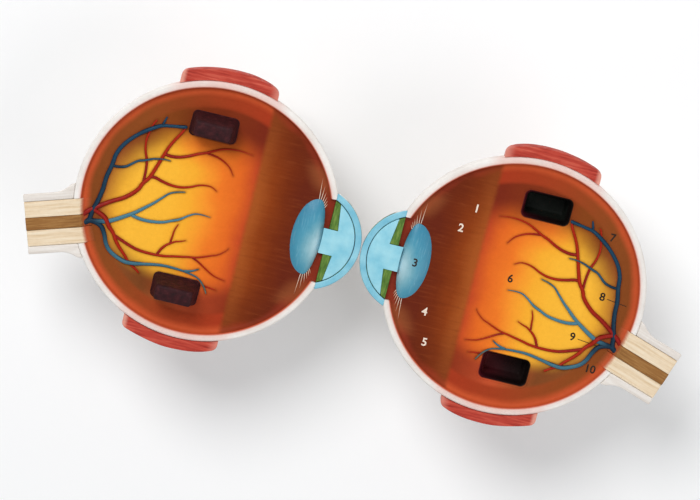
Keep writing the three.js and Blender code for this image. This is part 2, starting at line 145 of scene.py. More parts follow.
# A ridge's height as a share of half its width, and its depth, the same for every width
RIDGE_TOP = 0.92
RIDGE_FOOT = 0.55
ARTERIES = [
    (1.74, 1.0, [1135, -340, 1110, -300, 1062, -250, 985, -190, 890, -125, 772, -55, 672, 45,
        640, 115, 595, 178, 562, 265, 522, 390, 485, 500, 445, 585, 390, 680, 375, 718]),
    (1.0, 0.74, [640, 125, 640, 217, 653, 328, 688, 428, 702, 530, 688, 615, 665, 702, 648, 732]),
    (1.17, 0.35, [590, 190, 548, 195, 470, 175, 375, 158, 280, 162, 202, 185, 125, 220, 48, 235,
        0, 230, -48, 205]),
    (1.22, 0.33, [508, 435, 438, 428, 360, 440, 280, 470, 202, 510, 132, 538, 62, 575, -15, 610,
        -95, 628, -188, 633, -298, 620]),
    (0.78, 0.33, [132, 538, 62, 530, 0, 517, -62, 490, -118, 450, -165, 385]),
    (1.78, 0.78, [1130, -335, 1100, -285, 1047, -240, 985, -255, 905, -295, 852, -368, 805, -415,
        765, -478, 720, -532, 655, -595, 595, -658, 530, -698, 482, -732]),
    (1.22, 0.33, [790, -435, 720, -462, 640, -492, 562, -515, 470, -525, 375, -525, 280, -517,
        202, -500, 125, -485, 62, -472, 0, -462, -62, -442, -140, -410, -202, -385, -273, -325,
        -285, -305]),
    (0.7, 0.33, [30, -468, -30, -492, -95, -530, -155, -565, -220, -595, -320, -615]),
    (1.0, 0.35, [360, -522, 328, -455, 290, -408, 258, -385, 220, -360, 172, -345, 123, -325]),
    (0.74, 0.39, [262, -390, 255, -315, 248, -250, 227, -190]),
    (0.65, 0.33, [-125, -707.5, -187.5, -712.5, -265, -722.5]),
]
VEINS = [
    (1.83, 1.13, [1125, -385, 1090, -375, 1055, -345, 1040, -250, 1015, -158, 992, -32, 985, 92,
        960, 217, 945, 328, 905, 420, 845, 500, 765, 578, 672, 648, 595, 690, 500, 710, 415, 725,
        345, 737]),
    (1.0, 0.61, [585, 695, 578, 732, 562, 785]),
    (1.09, 0.35, [962, 210, 890, 215, 828, 235, 772, 280, 735, 310, 672, 335, 595, 365, 515, 385,
        438, 385]),
    (1.87, 0.35, [1120, -390, 1080, -375, 1047, -352, 970, -338, 890, -322, 812, -283, 735, -235,
        688, -205, 625, -158, 562, -102, 500, -48, 438, 15, 375, 78, 312, 108, 235, 128]),
    (1.3, 0.33, [680, -205, 610, -222, 530, -227, 452, -220, 375, -205, 298, -172, 220, -135,
        155, -88, 95, -55, 30, -48, -48, -53]),
    (1.78, 0.39, [1115, -395, 1080, -380, 1040, -352, 970, -360, 922, -385, 882, -447, 845, -532,
        798, -588, 735, -625, 640, -655, 530, -650, 438, -635, 345, -617, 250, -608, 155, -610,
        78, -615, 15, -625, -48, -640, -102, -670, -148, -718, -180, -775]),
    (1.04, 0.35, [78, -615, 15, -600, -30, -580, -60, -560]),
]
# How light each vessel is painted, from 0 to 1, and how far from its root it is so. The first vein
# stays dark, partly its own tone and partly painted shade.
ARTERY_TONES = [(0.0, 1)] * len(ARTERIES)
VEIN_TONES = [(0.0, 1), (0.0, 1), (0.22, 8), (0.95, 12), (1.0, 0.5), (0.7, 22), (0.7, 0.5)]
# The one vein trunk that an artery passes over, and that artery. How high one climbs over the
# other, where the climb starts, and how long it is
VEIN_BELOW = 3
ARTERY_ABOVE = 5
ARTERY_CLIMB = 0.7
VEIN_CLIMB = 0.75
CLIMB_START = 3.6
CLIMB_LENGTH = 2.9
# Beyond this place no vessel climbs over another, because all of them sink into the nerve. The
# ground that they lie on is level beyond its end.
NERVE_MOUTH = (39.5, -4)
GROUND_END = 45.0
# How far the painted shadow beside a vessel reaches
SHADE_REACH = 1.1
# The zonules: where they start on the lens, their turns from Y, their length, the room that they
# keep to the wall and to the cornea, and their widths at root and tip
ZONULE_START_Y = 7.5
ZONULE_TURNS = (-26, -20, -14, -8, -2, 4)
ZONULE_LENGTH = 8.5
ZONULE_ROOM = (1.3, 1.2)
ZONULE_WIDTHS = (0.3, 0.18)
# How deep the skin of the foam is, in metres
SKIN_DEPTH = 0.00012


# Measures

def clamped(share):
    return max(0.0, min(1.0, share))


def smooth(share):
    """A share that starts and ends softly."""
    share = clamped(share)
    return share * share * (3 - 2 * share)


def spaced(low, high, count, edge=0.0):
    """Values from low to high, with closer ones near both ends if an edge width is given."""
    inner = [low + edge + (high - low - 2 * edge) * i / count for i in range(count + 1)]
    if not edge:
        return inner
    near = [edge * s for s in (0, 0.13, 0.35, 0.65)]
    return [low + s for s in near] + inner + [high - s for s in reversed(near)]


def rounded_edge(distance, radius):
    """How far a surface drops at a distance from its rounded edge."""
    if distance >= radius:
        return 0.0
    return radius - sqrt(max(0.0, radius ** 2 - (radius - distance) ** 2))


def ball_height(radius, x, y=0.0):
    """Height of a ball over a place on the plane through its centre."""
    return sqrt(max(0.0, radius ** 2 - x * x - y * y))


def recess(x, y):
    """Height of the coloured inside of the cut face: a shallow dish that turns up to its wall."""
    r = hypot(x, y)
    in_front = min(x - LIMBUS_X, LIMBUS_OPENING - abs(y)) if x < OPENING_X else -1
    from_wall = max(RIM_INSIDE - r, in_front, 0)
    level = -RECESS - RECESS_DISH * (1 - min(r / RIM_INSIDE, 1) ** 2)
    return level + rounded_edge(from_wall, RECESS_ROUND)


def flat_tree(places):
    """Finds the nearest of some places on the cut face."""
    tree = KDTree(len(places))
    for i, place in enumerate(places):
        tree.insert((place[0], place[1], 0), i)
    tree.balance()
    return tree


def having(thing, **settings):
    """A thing of Blender's after some of its settings are changed."""
    for name, value in settings.items():
        setattr(thing, name, value)
    return thing


def put(name, data):
    """A new object in the scene."""
    thing = bpy.data.objects.new(name, data)
    bpy.context.scene.collection.objects.link(thing)
    return thing


def new_mesh(name, corners, faces):
    mesh = bpy.data.meshes.new(name)
    mesh.from_pydata([tuple(p) for p in corners], [], faces)
    return mesh


# Outlines and shapes. A shape is an array of corners and a list of faces.

def circle_part(radius, first, last, count):
    """Points of a circle from one angle to another."""
    return [(radius * cos(t), radius * sin(t)) for t in spaced(first, last, count)]


def line_part(a, b, count):
    """Points from a to b, without the ends."""
    return [(a[0] + (b[0] - a[0]) * i / count, a[1] + (b[1] - a[1]) * i / count)
            for i in range(1, count)]


def quarter(x, y, radius, start, count):
    """Points of a quarter circle round (x, y), after a number of right angles."""
    turns = [pi / 2 * (start + i / count) for i in range(count + 1)]
    return [(x + radius * cos(t), y + radius * sin(t)) for t in turns]


def looped(parts, count):
    """A closed loop through rows of points, with straight rows of points between them."""
    loop = []
    for part, following in zip(parts, parts[1:] + parts[:1]):
        loop += part + line_part(part[-1], following[0], count)
    return loop


def ball_outline(radius, high_z, count):
    """A ball's outline from its lowest point to a level, as (distance from the axis, z)."""
    turns = spaced(-pi / 2, asin(high_z / radius), count)[1:]
    return [(0, -radius)] + [(radius * cos(t), radius * sin(t)) for t in turns]


def lip_bend(lip, rise):
    """A lip's rounded edge as (way from the side, z), at shares of its rise to z = 0."""
    return [(lip * (1 - sqrt(1 - s * s)), -lip + lip * s) for s in rise]


def bowl_profile(outside, inside, lip, outer_steps, inner_steps):
    """Outline of a half ball's shell with a rounded lip at z = 0."""
    bend = lip_bend(lip, (0.26, 0.5, 0.71, 0.87, 0.97, 1.0))
    profile = ball_outline(outside, -lip, outer_steps)
    profile += [(outside - way, z) for way, z in bend]
    profile.append((inside + (outside - inside) * 0.5, 0.0))
    profile += [(inside + way, z) for way, z in reversed(bend)]
    return profile + ball_outline(inside, -lip, inner_steps)[::-1]


def level(loop, z):
    """A loop of places put at a height."""
    return [(x, y, z) for x, y in loop]


def lathe(profile, steps, centre_x=0.0):
    """A closed solid turned about an upright axis. The profile starts and ends on the axis."""
    rings = profile[1:-1]
    turns = [2 * pi * i / steps for i in range(steps)]
    corners = [(centre_x, 0, profile[0][1])]
    corners += [(centre_x + rho * cos(t), rho * sin(t), z)
                for rho, z in rings for t in turns]
    corners.append((centre_x, 0, profile[-1][1]))
    top = 1 + (len(rings) - 1) * steps
    faces = []
    for i in range(steps):
        j = (i + 1) % steps
        faces.append((0, 1 + i, 1 + j))
        faces += [(low + i, low + steps + i, low + steps + j, low + j)
                  for low in range(1, top, steps)]
        faces.append((top + i, len(corners) - 1, top + j))
    return np.array(corners), faces


def stacked(rings):
    """A closed solid through rings of the same number of corners, from the lowest on."""
    count = len(rings[0])
    corners = [p for ring in rings for p in ring]
    faces = [tuple(range(count))[::-1]]
    for low in range(0, len(corners) - count, count):
        high = low + count
        for i in range(count):
            j = (i + 1) % count
            faces.append((low + i, low + j, high + j, high + i))
    faces.append(tuple(range(len(corners) - count, len(corners))))
    return np.array(corners), faces


def turned(shape, angle):
    """A shape turned about Z."""
    corners, faces = shape
    c, s = cos(angle), sin(angle)
    return corners @ np.array([[c, s, 0], [-s, c, 0], [0, 0, 1]]), faces


def half_turn(profile, steps, angle=0.0):
    """A solid swept half round a level axis, below the cut face. The profile is a closed outline
    of (distance along the axis, distance from it). The angle turns the axis about Z."""
    turns = [-pi * i / steps for i in range(steps + 1)]
    return turned(stacked([[(along, rho * cos(t), rho * sin(t))
                            for along, rho in profile] for t in turns]), angle)


def thickened(places, faces, top, bottom, least):
    """A closed solid over faces in a plane. Its top and bottom are given by place."""
    count = len(places)
    corners = [(x, y, top(x, y)) for x, y in places]
    corners += [(x, y, min(bottom(x, y), top(x, y) - least)) for x, y in places]
    sides = {}
    for face in faces:
        for a, b in zip(face, face[1:] + face[:1]):
            if sides.pop((b, a), None) is None:
                sides[(a, b)] = True
    under = [tuple(i + count for i in reversed(face)) for face in faces]
    return np.array(corners), faces + under + [(b, a, a + count, b + count) for a, b in sides]


def slab(us, vs, place, top, bottom):
    """A closed solid over a grid of places along and across."""
    spots = [(place(u, v), v) for u in us for v in vs]
    nv = len(vs)
    faces = [(i * nv + j, (i + 1) * nv + j, (i + 1) * nv + j + 1, i * nv + j + 1)
             for i in range(len(us) - 1) for j in range(nv - 1)]
    return thickened(spots, faces, top, bottom, 0.02)


def plate(loops, holds, spacing, top, bottom):
    """A closed solid over the places where holds(x, y) is true. It keeps the loops as edges,
    and has an even net of triangles between them."""
    spots, edges = [], []
    for loop in loops:
        first = len(spots)
        spots += loop
        edges += [(first + i, first + (i + 1) % len(loop)) for i in range(len(loop))]
    tree = flat_tree(spots)
    low, high = np.min(spots, axis=0), np.max(spots, axis=0)
    is_shifted = False
    y = low[1]
    while y <= high[1]:
        x = low[0] + (spacing / 2 if is_shifted else 0)
        while x <= high[0]:
            if holds(x, y) and tree.find((x, y, 0))[2] > 0.6 * spacing:
                spots.append((x, y))
            x += spacing
        y += spacing * sqrt(3) / 2
        is_shifted = not is_shifted
    places, _, net, *_ = delaunay_2d_cdt([Vector(p) for p in spots], edges, [], 0, 1e-5)
    faces = []
    for face in net:
        a, b, c = (places[i] for i in face)
        if holds(*((a + b + c) / 3)):
            turns_left = (b - a).cross(c - a) > 0
            faces.append(tuple(face) if turns_left else tuple(face)[::-1])
    used = sorted({i for face in faces for i in face})
    new = {old: i for i, old in enumerate(used)}
    faces = [tuple(new[i] for i in face) for face in faces]
    return thickened([tuple(places[i]) for i in used], faces, top, bottom, 0.05)


def rounded_loop(centre, half, corner):
    """A rectangle's outline with round corners."""
    return looped([
        quarter(centre[0] + sx * (half[0] - corner), centre[1] + sy * (half[1] - corner),
                corner, start, 8)
        for start, (sx, sy) in enumerate(QUARTERS)], 10)


def beyond(x, far):
    """A block from x to far away, used only to cut other shapes."""
    low, high = sorted((x, far))
    base = [(low, -FAR), (high, -FAR), (high, FAR), (low, FAR)]
    return stacked([level(base, -FAR), level(base, FAR)])


def rod(radius, low, high, angle=0.0, steps=96):
    """A round bar along a level axis, used only to cut other shapes."""
    turns = [2 * pi * i / steps for i in range(steps)]
    return turned(stacked([[(x, radius * cos(t), radius * sin(t)) for t in turns]
                           for x in (low, high)]), angle)


def scratch(shape):
    """A shape as an object that lives only while others are cut with it."""
    mesh = new_mesh("scratch", *shape)
    mesh.validate()
    return put("scratch", mesh)


def evaluated_mesh(thing):
    graph = bpy.context.evaluated_depsgraph_get()
    return bpy.data.meshes.new_from_object(thing.evaluated_get(graph))


def worked(shape, cut=(), bevel=0.0):
    """A shape after exact cuts, or with its sharp edges rounded."""
    thing = scratch(shape)
    cutters = [scratch(cutter) for cutter in cut]
    for cutter in cutters:
        having(thing.modifiers.new("cut", "BOOLEAN"), operation="DIFFERENCE", solver="EXACT",
               object=cutter)
    if cutters:
        having(thing.modifiers.new("weld", "WELD"), merge_threshold=0.004)
    if bevel:
        having(thing.modifiers.new("round", "BEVEL"), width=bevel, segments=3,
               limit_method="ANGLE", angle_limit=radians(50))
    mesh = evaluated_mesh(thing)
    corners = np.empty(len(mesh.vertices) * 3)
    mesh.vertices.foreach_get("co", corners)
    faces = [tuple(face.vertices) for face in mesh.polygons]
    bpy.data.meshes.remove(mesh)
    for other in [thing, *cutters]:
        data = other.data
        bpy.data.objects.remove(other)
        bpy.data.meshes.remove(data)
    return corners.reshape(-1, 3), faces


def joined(shapes):
    """Several shapes as one."""
    corners, faces = [], []
    for more_corners, more_faces in shapes:
        first = len(corners)
        corners += [tuple(p) for p in more_corners]
        faces += [tuple(first + i for i in face) for face in more_faces]
    return np.array(corners), faces


# Nodes

def srgb(r, g, b):
    """A colour given as 0 to 255, as Blender wants it."""
    linear = [c / 255 / 12.92 if c <= 10 else ((c / 255 + 0.055) / 1.055) ** 2.4 for c in (r, g, b)]
    return (*linear, 1.0)


class Value:
    """What a node gives. It adds, subtracts and multiplies as a number does."""

    def __init__(self, nodes, socket):
        self.nodes = nodes
        self.socket = socket

    def math(self, operation, *others, clamp=False):
        inputs = dict(enumerate((self, *others)))
        return self.nodes.node("Math", inputs, operation=operation, use_clamp=clamp)

    __add__ = partialmethod(math, "ADD")
    __sub__ = partialmethod(math, "SUBTRACT")
    __mul__ = partialmethod(math, "MULTIPLY")
    __abs__ = partialmethod(math, "ABSOLUTE")

    def step(self, low, high):
        """0 at low and 1 at high, smooth between."""
        return self.spread(low, high, interpolation_type="SMOOTHSTEP")

    def between(self, low, high, soft):
        """1 from low to high, smooth to 0 outside."""
        return self.step(low - soft, low + soft) * self.step(high + soft, high - soft)

    def spread(self, low, high, to_low=0.0, to_high=1.0, **settings):
        """From one range to another, straight if the settings say nothing else."""
        return self.nodes.node("MapRange", {
            "Value": self, "From Min": low, "From Max": high, "To Min": to_low,
            "To Max": to_high}, **settings)

    def ramp(self, *stops):
        """A colour by value, from stops of (value, colour)."""
        low, high = stops[0][0], stops[-1][0]
        made = self.nodes.make("ValToRGB", {0: self.spread(low, high)})
        elements = made.color_ramp.elements
        while len(elements) < len(stops):
            elements.new(0.5)
        for element, (place, colour) in zip(elements, stops):
            element.position = (place - low) / (high - low)
            element.color = srgb(*colour)
        return Value(self.nodes, made.outputs[0])

    def towards(self, colour, share):
        """This colour, mixed with a share of another."""
        other = srgb(*colour) if isinstance(colour, tuple) else colour
        return Value(self.nodes, self.nodes.make(
            "Mix", {"Factor": share, 6: self, 7: other}, data_type="RGBA").outputs[2])

    def under(self, *coats):
        """This colour under coats of others, the lowest first, each given with its share."""
        colour = self
        for other, share in coats:
            colour = colour.towards(other, share)
        return colour


def length(a, b):
    return (a * a + b * b).math("SQRT")


class Nodes:
    """The nodes of a material or a world."""

    def __init__(self, owner):
        owner.use_nodes = True
        self.tree = owner.node_tree
        self.tree.nodes.clear()

    def make(self, kind, inputs=None, **settings):
        """Adds a node. Its inputs are constants or what other nodes give."""
        made = having(self.tree.nodes.new("ShaderNode" + kind), **settings)
        for key, value in (inputs or {}).items():
            if isinstance(value, Value):
                self.tree.links.new(value.socket, made.inputs[key])
            else:
                made.inputs[key].default_value = value
        return made

    def node(self, kind, inputs=None, output=0, **settings):
        """Adds a node and gives one of its outputs."""
        return Value(self, self.make(kind, inputs, **settings).outputs[output])


class Paint(Nodes):
    """A material whose nodes read "eye", the place on the half in millimetres."""

    def __init__(self, name, specular=0.12):
        self.material = bpy.data.materials.new(name)
        super().__init__(self.material)
        self.specular = specular
        self.eye = self.node("Attribute", output="Vector", attribute_name="eye")
        parts = self.make("SeparateXYZ", {0: self.eye})
        self.x, self.y, self.z = (Value(self, socket) for socket in parts.outputs)

    def attribute(self, name):
        return self.node("Attribute", output="Fac", attribute_name=name)

    def radius(self):
        """Distance on the cut face from the eyeball's centre."""
        return length(self.x, self.y)

    def noise(self, scale, detail, roughness, vector=None):
        """Noise over the half. It is drawn out if the vector is a scale for each axis."""
        if isinstance(vector, tuple):
            vector = self.node("Mapping", {"Vector": self.eye, "Scale": vector})
        return self.node("TexNoise", {"Vector": vector or self.eye, "Scale": scale,
                                      "Detail": detail, "Roughness": roughness}, "Fac")

    def wobble(self, size, scale, detail=3, roughness=0.6):
        """Noise round zero."""
        return (self.noise(scale, detail, roughness) - 0.5) * size

    def distance(self, x, y, before, below):
        """Distance on the cut face from a place, stretched on its -X and -Y sides."""
        across, along = self.x - x, self.y - y
        return length(across.math("MAXIMUM", across * -before),
                      along.math("MAXIMUM", along * -below))

    def finish(self, colour, low_rough, high_rough, skin=1.0, extra=None):
        """Colour, uneven gloss and the fine skin of moulded foam, with a few open pores."""
        mottle = self.noise(0.7, 4, 0.6).spread(0, 1, 0.93, 1.07)
        pores = self.node("TexVoronoi", {"Vector": self.eye, "Scale": 0.9}, "Distance")
        grain, waves = self.noise(3.2, 3, 0.6), self.noise(0.3, 2, 0.5)
        height = grain * 0.5 + waves * 2.2 - pores.step(0.16, 0.05) * 0.5
        if extra is not None:
            height = height + extra
        shader = self.node("BsdfPrincipled", {
            "Base Color": self.node("VectorMath", {0: colour, "Scale": mottle}, operation="SCALE"),
            "Roughness": self.noise(0.35, 3, 0.6).spread(0.3, 0.7, low_rough, high_rough),
            "Specular IOR Level": self.specular,
            "Normal": self.node("Bump", {"Strength": 1.0, "Distance": SKIN_DEPTH * skin,
                                         "Height": height})})
        self.make("OutputMaterial", {"Surface": shader})
        return self.material


# Materials

def face_colour(paint):
    """The airbrushed colours of the cut face, with painted shade towards its rim and top and
    painted shadow beside the vessels, one function for every layer on it.
    """
    x, y, r = paint.x, paint.y, paint.radius()
    drift = paint.wobble(7.0, 0.07, 2, 0.5)
    drifted = x + drift
    rear_top = y.step(12, 25) * x.step(-8, 10)
    filling = (drifted - rear_top * 11.5).ramp(
        (-16, (186, 68, 36)), (-13, (205, 86, 36)), (-9.5, (224, 103, 36)), (-4, (237, 120, 39)),
        (1, (245, 146, 45)), (7, (247, 172, 49)), (14, (249, 182, 55)), (27, (248, 184, 58)),
        (33, (238, 172, 52)), (40, (222, 152, 48)))
    # The edge colour is partly the airbrushed rim and partly painted shade, darkest at the top
    edge = drifted.ramp((-16, (124, 44, 23)), (0, (186, 72, 46)), (18, (104, 42, 32)),
                        (40, (133, 62, 38)))
    edge = edge.towards(drifted.ramp((-16, (106, 34, 22)), (20, (114, 40, 23))), y.step(8, 27))
    from_glow = paint.distance(3.8, -7.5, before=0.6, below=1.6) + drift
    band = drifted.ramp((-16, (164, 56, 30)), (5, (160, 63, 32)), (30, (139, 72, 32)),
                        (47, (126, 68, 30)))
    band = band.towards((196, 84, 46), (r + drift * 0.3).step(43.2, 46.4))
    filling = filling.under(
        # Painted shade and airbrushed rim together, growing away from the bright middle
        (edge, from_glow.step(26.8, 41) * 0.92),
        (band, r.step(38.8, 40.6)),
        # Painted shadow beside the vessels
        ((112, 48, 20), paint.attribute("shade") * 0.5))
    sideways = abs(y)
    front = drifted.ramp(
        (-46, (98, 36, 23)), (-34, (102, 38, 21)), (-28, (115, 45, 18)), (-22, (138, 60, 21)),
        (-17, (162, 81, 33)), (-12, (166, 84, 34)))
    streaks = paint.noise(1.0, 3, 0.6, (0.1, 1.1, 0.5))
    muscle = r.step(38.5, 44.5) * x.step(-29, -35) * sideways.between(18, 27, 3.0)
    border = x + paint.wobble(0.9, 0.9)
    return front.under(
        # Darker towards the top and bottom, partly painted shade
        ((98, 38, 20), sideways.step(14, 40) * 0.55),
        ((172, 88, 46), streaks.step(0.5, 0.85) * 0.22),
        ((84, 28, 15), streaks.step(0.5, 0.2) * 0.2),
        ((160, 58, 38), (r + drift).step(43.5, 46.8) * 0.5),
        ((160, 90, 52), muscle * 0.5),
        (filling, border.step(-16.7, -14.3)))


def face_paint(name):
    paint = Paint(name, 0.04)
    return paint.finish(face_colour(paint), 0.4, 0.56)


def vitreous_paint():
    """The face's colours, with painted shade that makes the sockets near black inside."""
    paint = Paint("vitreous_paint", 0.04)
    x, y, z = paint.x, paint.y, paint.z
    half_x, half_y = (size - SOCKET_CORNER for size in SOCKET_HALF)
    away = length((abs(x - SOCKET_X) - half_x).math("MAXIMUM", 0.0),
                  (abs(abs(y) - SOCKET_Y) - half_y).math("MAXIMUM", 0.0))
    socket_shade = away.step(SOCKET_CORNER + 0.75, SOCKET_CORNER + 0.15) * z.step(-2.35, -2.7)
    # Painted shade in the sockets: dark walls, a darker bottom, a little maroon towards -X
    wall = x.ramp((-5, (70, 16, 25)), (-1.5, (40, 11, 16)), (4, (20, 9, 10)), (14, (12, 9, 8)))
    bottom = x.ramp((-5, (102, 36, 36)), (0, (72, 25, 30)), (6, (46, 24, 26)),
                    (14, (26, 24, 22)))
    bottom = bottom.towards((21, 24, 21), y.step(-20, 20))
    # Patches where the painted shade is a little lighter
    shade_patches = paint.noise(1.2, 4, 0.6).step(0.6, 0.75) * 0.08
    colour = face_colour(paint).towards(wall.towards(bottom, z.step(-5, -9)),
                                        socket_shade.math("SUBTRACT", shade_patches, clamp=True))
    return paint.finish(colour, 0.4, 0.56)


def sclera_paint():
    """Off-white outside and rim with faint veins, red-orange on the inner wall, pink near the
    muscles."""
    paint = Paint("sclera_paint")
    z, r = paint.z, paint.radius()
    cloud = paint.noise(0.06, 3, 0.55)
    colour = cloud.ramp((0.3, (226, 218, 211)), (0.5, (235, 229, 223)), (0.7, (240, 236, 231)))
    sideways = abs(paint.y)
    halo = paint.x.between(-19, 24, 3.5)
    under = halo * (z.step(-38, -46) * sideways.step(23, 17))
    pink = (halo * sideways.step(38, 47)).math("ADD", under, clamp=True)
    swirl = paint.node("TexNoise", {"Vector": paint.eye, "Scale": 0.12}, "Color")
    shift = paint.node("VectorMath", {0: swirl, "Scale": 22}, operation="SCALE")
    bent = paint.node("VectorMath", {0: paint.eye, 1: shift}, operation="ADD")
    lines = paint.node("TexVoronoi", {"Vector": bent, "Scale": 0.035}, "Distance",
                       feature="DISTANCE_TO_EDGE")
    vein = lines.step(0.022, 0.0) * z.step(-2, -8) * cloud.step(0.42, 0.56)
    blush = r.between(47.4, 48.4, 0.5) * z.step(-0.8, -0.3)
    colour = colour.under(
        ((226, 172, 160), pink * cloud.step(0.2, 0.6) * 0.55),
        ((205, 120, 112), vein * 0.16),
        ((196, 82, 46), r.step(47.95, 47.2) * z.step(-3.4, -3.2)),
        ((231, 184, 170), blush * 0.3))
    return paint.finish(colour, 0.45, 0.62)


def lens_paint():
    """A painted highlight and painted shade on the lens's light blue: pale in front, and a deeper
    blue towards the back and both ends.
    """
    paint = Paint("lens_paint", 0.3)
    # Distance from the painted highlight, which lies in front
    from_highlight = length(paint.x + 44.0, (paint.y + 3.0) * 0.66)
    colour = (from_highlight + paint.wobble(3.0, 0.16, 3, 0.5)).ramp(
        (0, (190, 220, 228)), (3, (146, 186, 196)), (5, (108, 164, 180)), (7.2, (76, 148, 172)),
        (9, (63, 139, 166)), (13, (52, 126, 156)))
    fibres = paint.noise(1.0, 3, 0.6, (1.6, 0.16, 0.5))
    return paint.finish(colour.towards((176, 214, 222), fibres.step(0.5, 0.75) * 0.16),
                        0.3, 0.46, 0.7)


def cornea_paint():
    """Light blue on the cut; outside a green iris with a black pupil, which fades to white."""
    paint = Paint("cornea_paint", 0.3)
    across = length(paint.y, paint.z)
    angle = paint.y.math("ARCTAN2", paint.z)
    rays = paint.node("CombineXYZ", {0: angle * 7.0, 1: across * 0.16})
    fibre = paint.noise(2.2, 4, 0.65, rays)
    colour = across.ramp((5, (62, 84, 34)), (7.5, (116, 142, 62)), (12, (92, 124, 52)),
                         (15.2, (52, 78, 36)), (17, (44, 62, 34)))
    uneven = across + paint.wobble(1.0, 0.6)
    cut = paint.noise(0.2, 3, 0.5).ramp((0.3, (112, 182, 205)), (0.7, (146, 204, 220)))
    colour = colour.under(
        ((158, 172, 84), fibre.step(0.45, 0.75) * 0.55),
        ((44, 66, 28), fibre.step(0.5, 0.25) * 0.5),
        ((14, 13, 14), uneven.step(5.5, 4.9)),
        ((226, 219, 212), uneven.step(16.2, 17.6)),
        (cut, paint.z.step(-0.36, -0.2)))
    return paint.finish(colour, 0.3, 0.45, 0.6)


def nerve_paint(name, scale, stops, high_rough, inside=None, relief=0.0):
    """Stripes along the nerve. In the eyeball, the cut face's colours run over them."""
    paint = Paint(name)
    c, s = cos(NERVE_ANGLE), sin(NERVE_ANGLE)
    along = paint.x * c + paint.y * s
    across = paint.y * c - paint.x * s
    drawn_out = paint.node("CombineXYZ", {0: along * 0.06, 1: across, 2: paint.z * 0.8})
    stripes = paint.noise(scale, 4, 0.6, drawn_out)
    colour = stripes.ramp(*stops)
    if inside:
        colour = colour.towards(face_colour(paint), paint.radius().step(*inside))
    return paint.finish(colour, 0.45, high_rough, 1.0, stripes * relief if relief else None)


def vessel_paint(name, root, middle, tip, pale):
    """Painted ridges, with painted shade at the foot and a painted highlight along the top, fading
    at the tips. "way" runs from root to tip, "crest" from the foot of the ridge to its top, and
    "tone" from the dark to the pale ones."""
    paint = Paint(name, 0.15)
    way = paint.attribute("way")
    colour = (way + paint.wobble(0.25, 0.5)).ramp(
        (0.0, root), (0.1, root), (0.38, middle), (0.8, middle), (1.0, tip))
    ridge_shading = paint.attribute("crest") + paint.wobble(0.5, 1.3)
    # Painted shade at the foot of the ridge, and a painted highlight along its top
    foot = tuple(round(c * 0.55) for c in root)
    light = tuple(min(255, round(c * 1.15 + 4)) for c in middle)
    colour = colour.under(
        (pale, paint.attribute("tone") * way.step(1.0, 0.7)),
        (foot, ridge_shading.step(0.5, 0.05) * 0.75),
        (light, ridge_shading.step(0.85, 1.15) * 0.4))
    return paint.finish(colour, 0.34, 0.5, 0.8)


def muscle_paint():
    """Brick red with fine striations along the muscle, lighter at both ends."""
    paint = Paint("muscle_paint")
    fibres = paint.noise(1.0, 4, 0.65, (0.07, 0.9, 0.9))
    colour = fibres.ramp((0.28, (146, 42, 34)), (0.5, (186, 66, 52)), (0.72, (212, 100, 80)))
    colour = colour.under(
        ((222, 150, 132), paint.x.step(18.6, 20.4)),
        ((214, 132, 116), paint.x.step(-12, -16.5)))
    return paint.finish(colour, 0.42, 0.58, 1.2, fibres * 3.0)


def zonules_paint():
    """Pale at the lens and fading into the brown at the wall."""
    paint = Paint("zonules_paint")
    colour = (paint.attribute("way") + paint.wobble(0.3, 1.2)).ramp(
        (0.0, (222, 206, 190)), (0.5, (214, 176, 150)), (1.0, (160, 96, 66)))
    return paint.finish(colour, 0.4, 0.55, 0.6)


def cloudy_paint(name, noise, stops, finish, specular=0.12):
    """One colour, clouded or streaked by noise."""
    paint = Paint(name, specular)
    return paint.finish(paint.noise(*noise).ramp(*stops), *finish)


def ink_paint(name, colour):
    lighter = tuple(min(255, c + 26) for c in colour)
    return cloudy_paint(name, (1.6, 4, 0.6), [(0.35, colour), (0.75, lighter)], (0.4, 0.55, 0.6))


PAINTS = {
    "sclera": sclera_paint(),
    "choroid": face_paint("choroid_paint"),
    "retina": face_paint("retina_paint"),
    "vitreous": vitreous_paint(),
    "ciliary": face_paint("ciliary_paint"),
    "lens": lens_paint(),
    "iris": cloudy_paint("iris_paint", (1.0, 3, 0.6, (1.4, 0.25, 0.4)), [
        (0.25, (58, 82, 36)), (0.5, (88, 122, 52)), (0.75, (126, 150, 72))], (0.4, 0.55)),
    "aqueous": cloudy_paint("aqueous_paint", (0.15, 3, 0.5), [
        (0.3, (128, 196, 216)), (0.7, (164, 218, 230))], (0.32, 0.48, 0.7), 0.3),
    "cornea": cornea_paint(),
    "sheath": nerve_paint("sheath_paint", 0.9, [
        (0.25, (214, 204, 194)), (0.5, (228, 220, 212)), (0.75, (238, 233, 227))], 0.62),
    "nerve": nerve_paint("nerve_paint", 1.0, [
        (0.3, (216, 188, 150)), (0.5, (233, 211, 180)), (0.72, (241, 225, 199))], 0.6,
        inside=(47.8, 45.9), relief=1.6),
    "core": nerve_paint("core_paint", 1.6, [
        (0.3, (126, 84, 44)), (0.5, (150, 104, 56)), (0.7, (172, 128, 76))], 0.6,
        inside=(47.6, 45.6), relief=1.2),
    "artery": vessel_paint("artery_paint", (128, 20, 16), (160, 32, 4), (164, 56, 14),
                           (160, 32, 4)),
    "vein": vessel_paint("vein_paint", (13, 38, 56), (19, 58, 82), (92, 116, 104),
                         (76, 126, 144)),
    "muscle": muscle_paint(),
    "peg": cloudy_paint("peg_paint", (0.5, 4, 0.6), [
        (0.3, (34, 14, 17)), (0.55, (52, 20, 24)), (0.75, (74, 32, 34))], (0.5, 0.68, 1.3)),
    "dark_ink": ink_paint("dark_ink", (34, 22, 14)),
    "pale_ink": ink_paint("pale_ink", (226, 208, 190)),
    "zonules": zonules_paint(),
}


# Shapes of the pieces

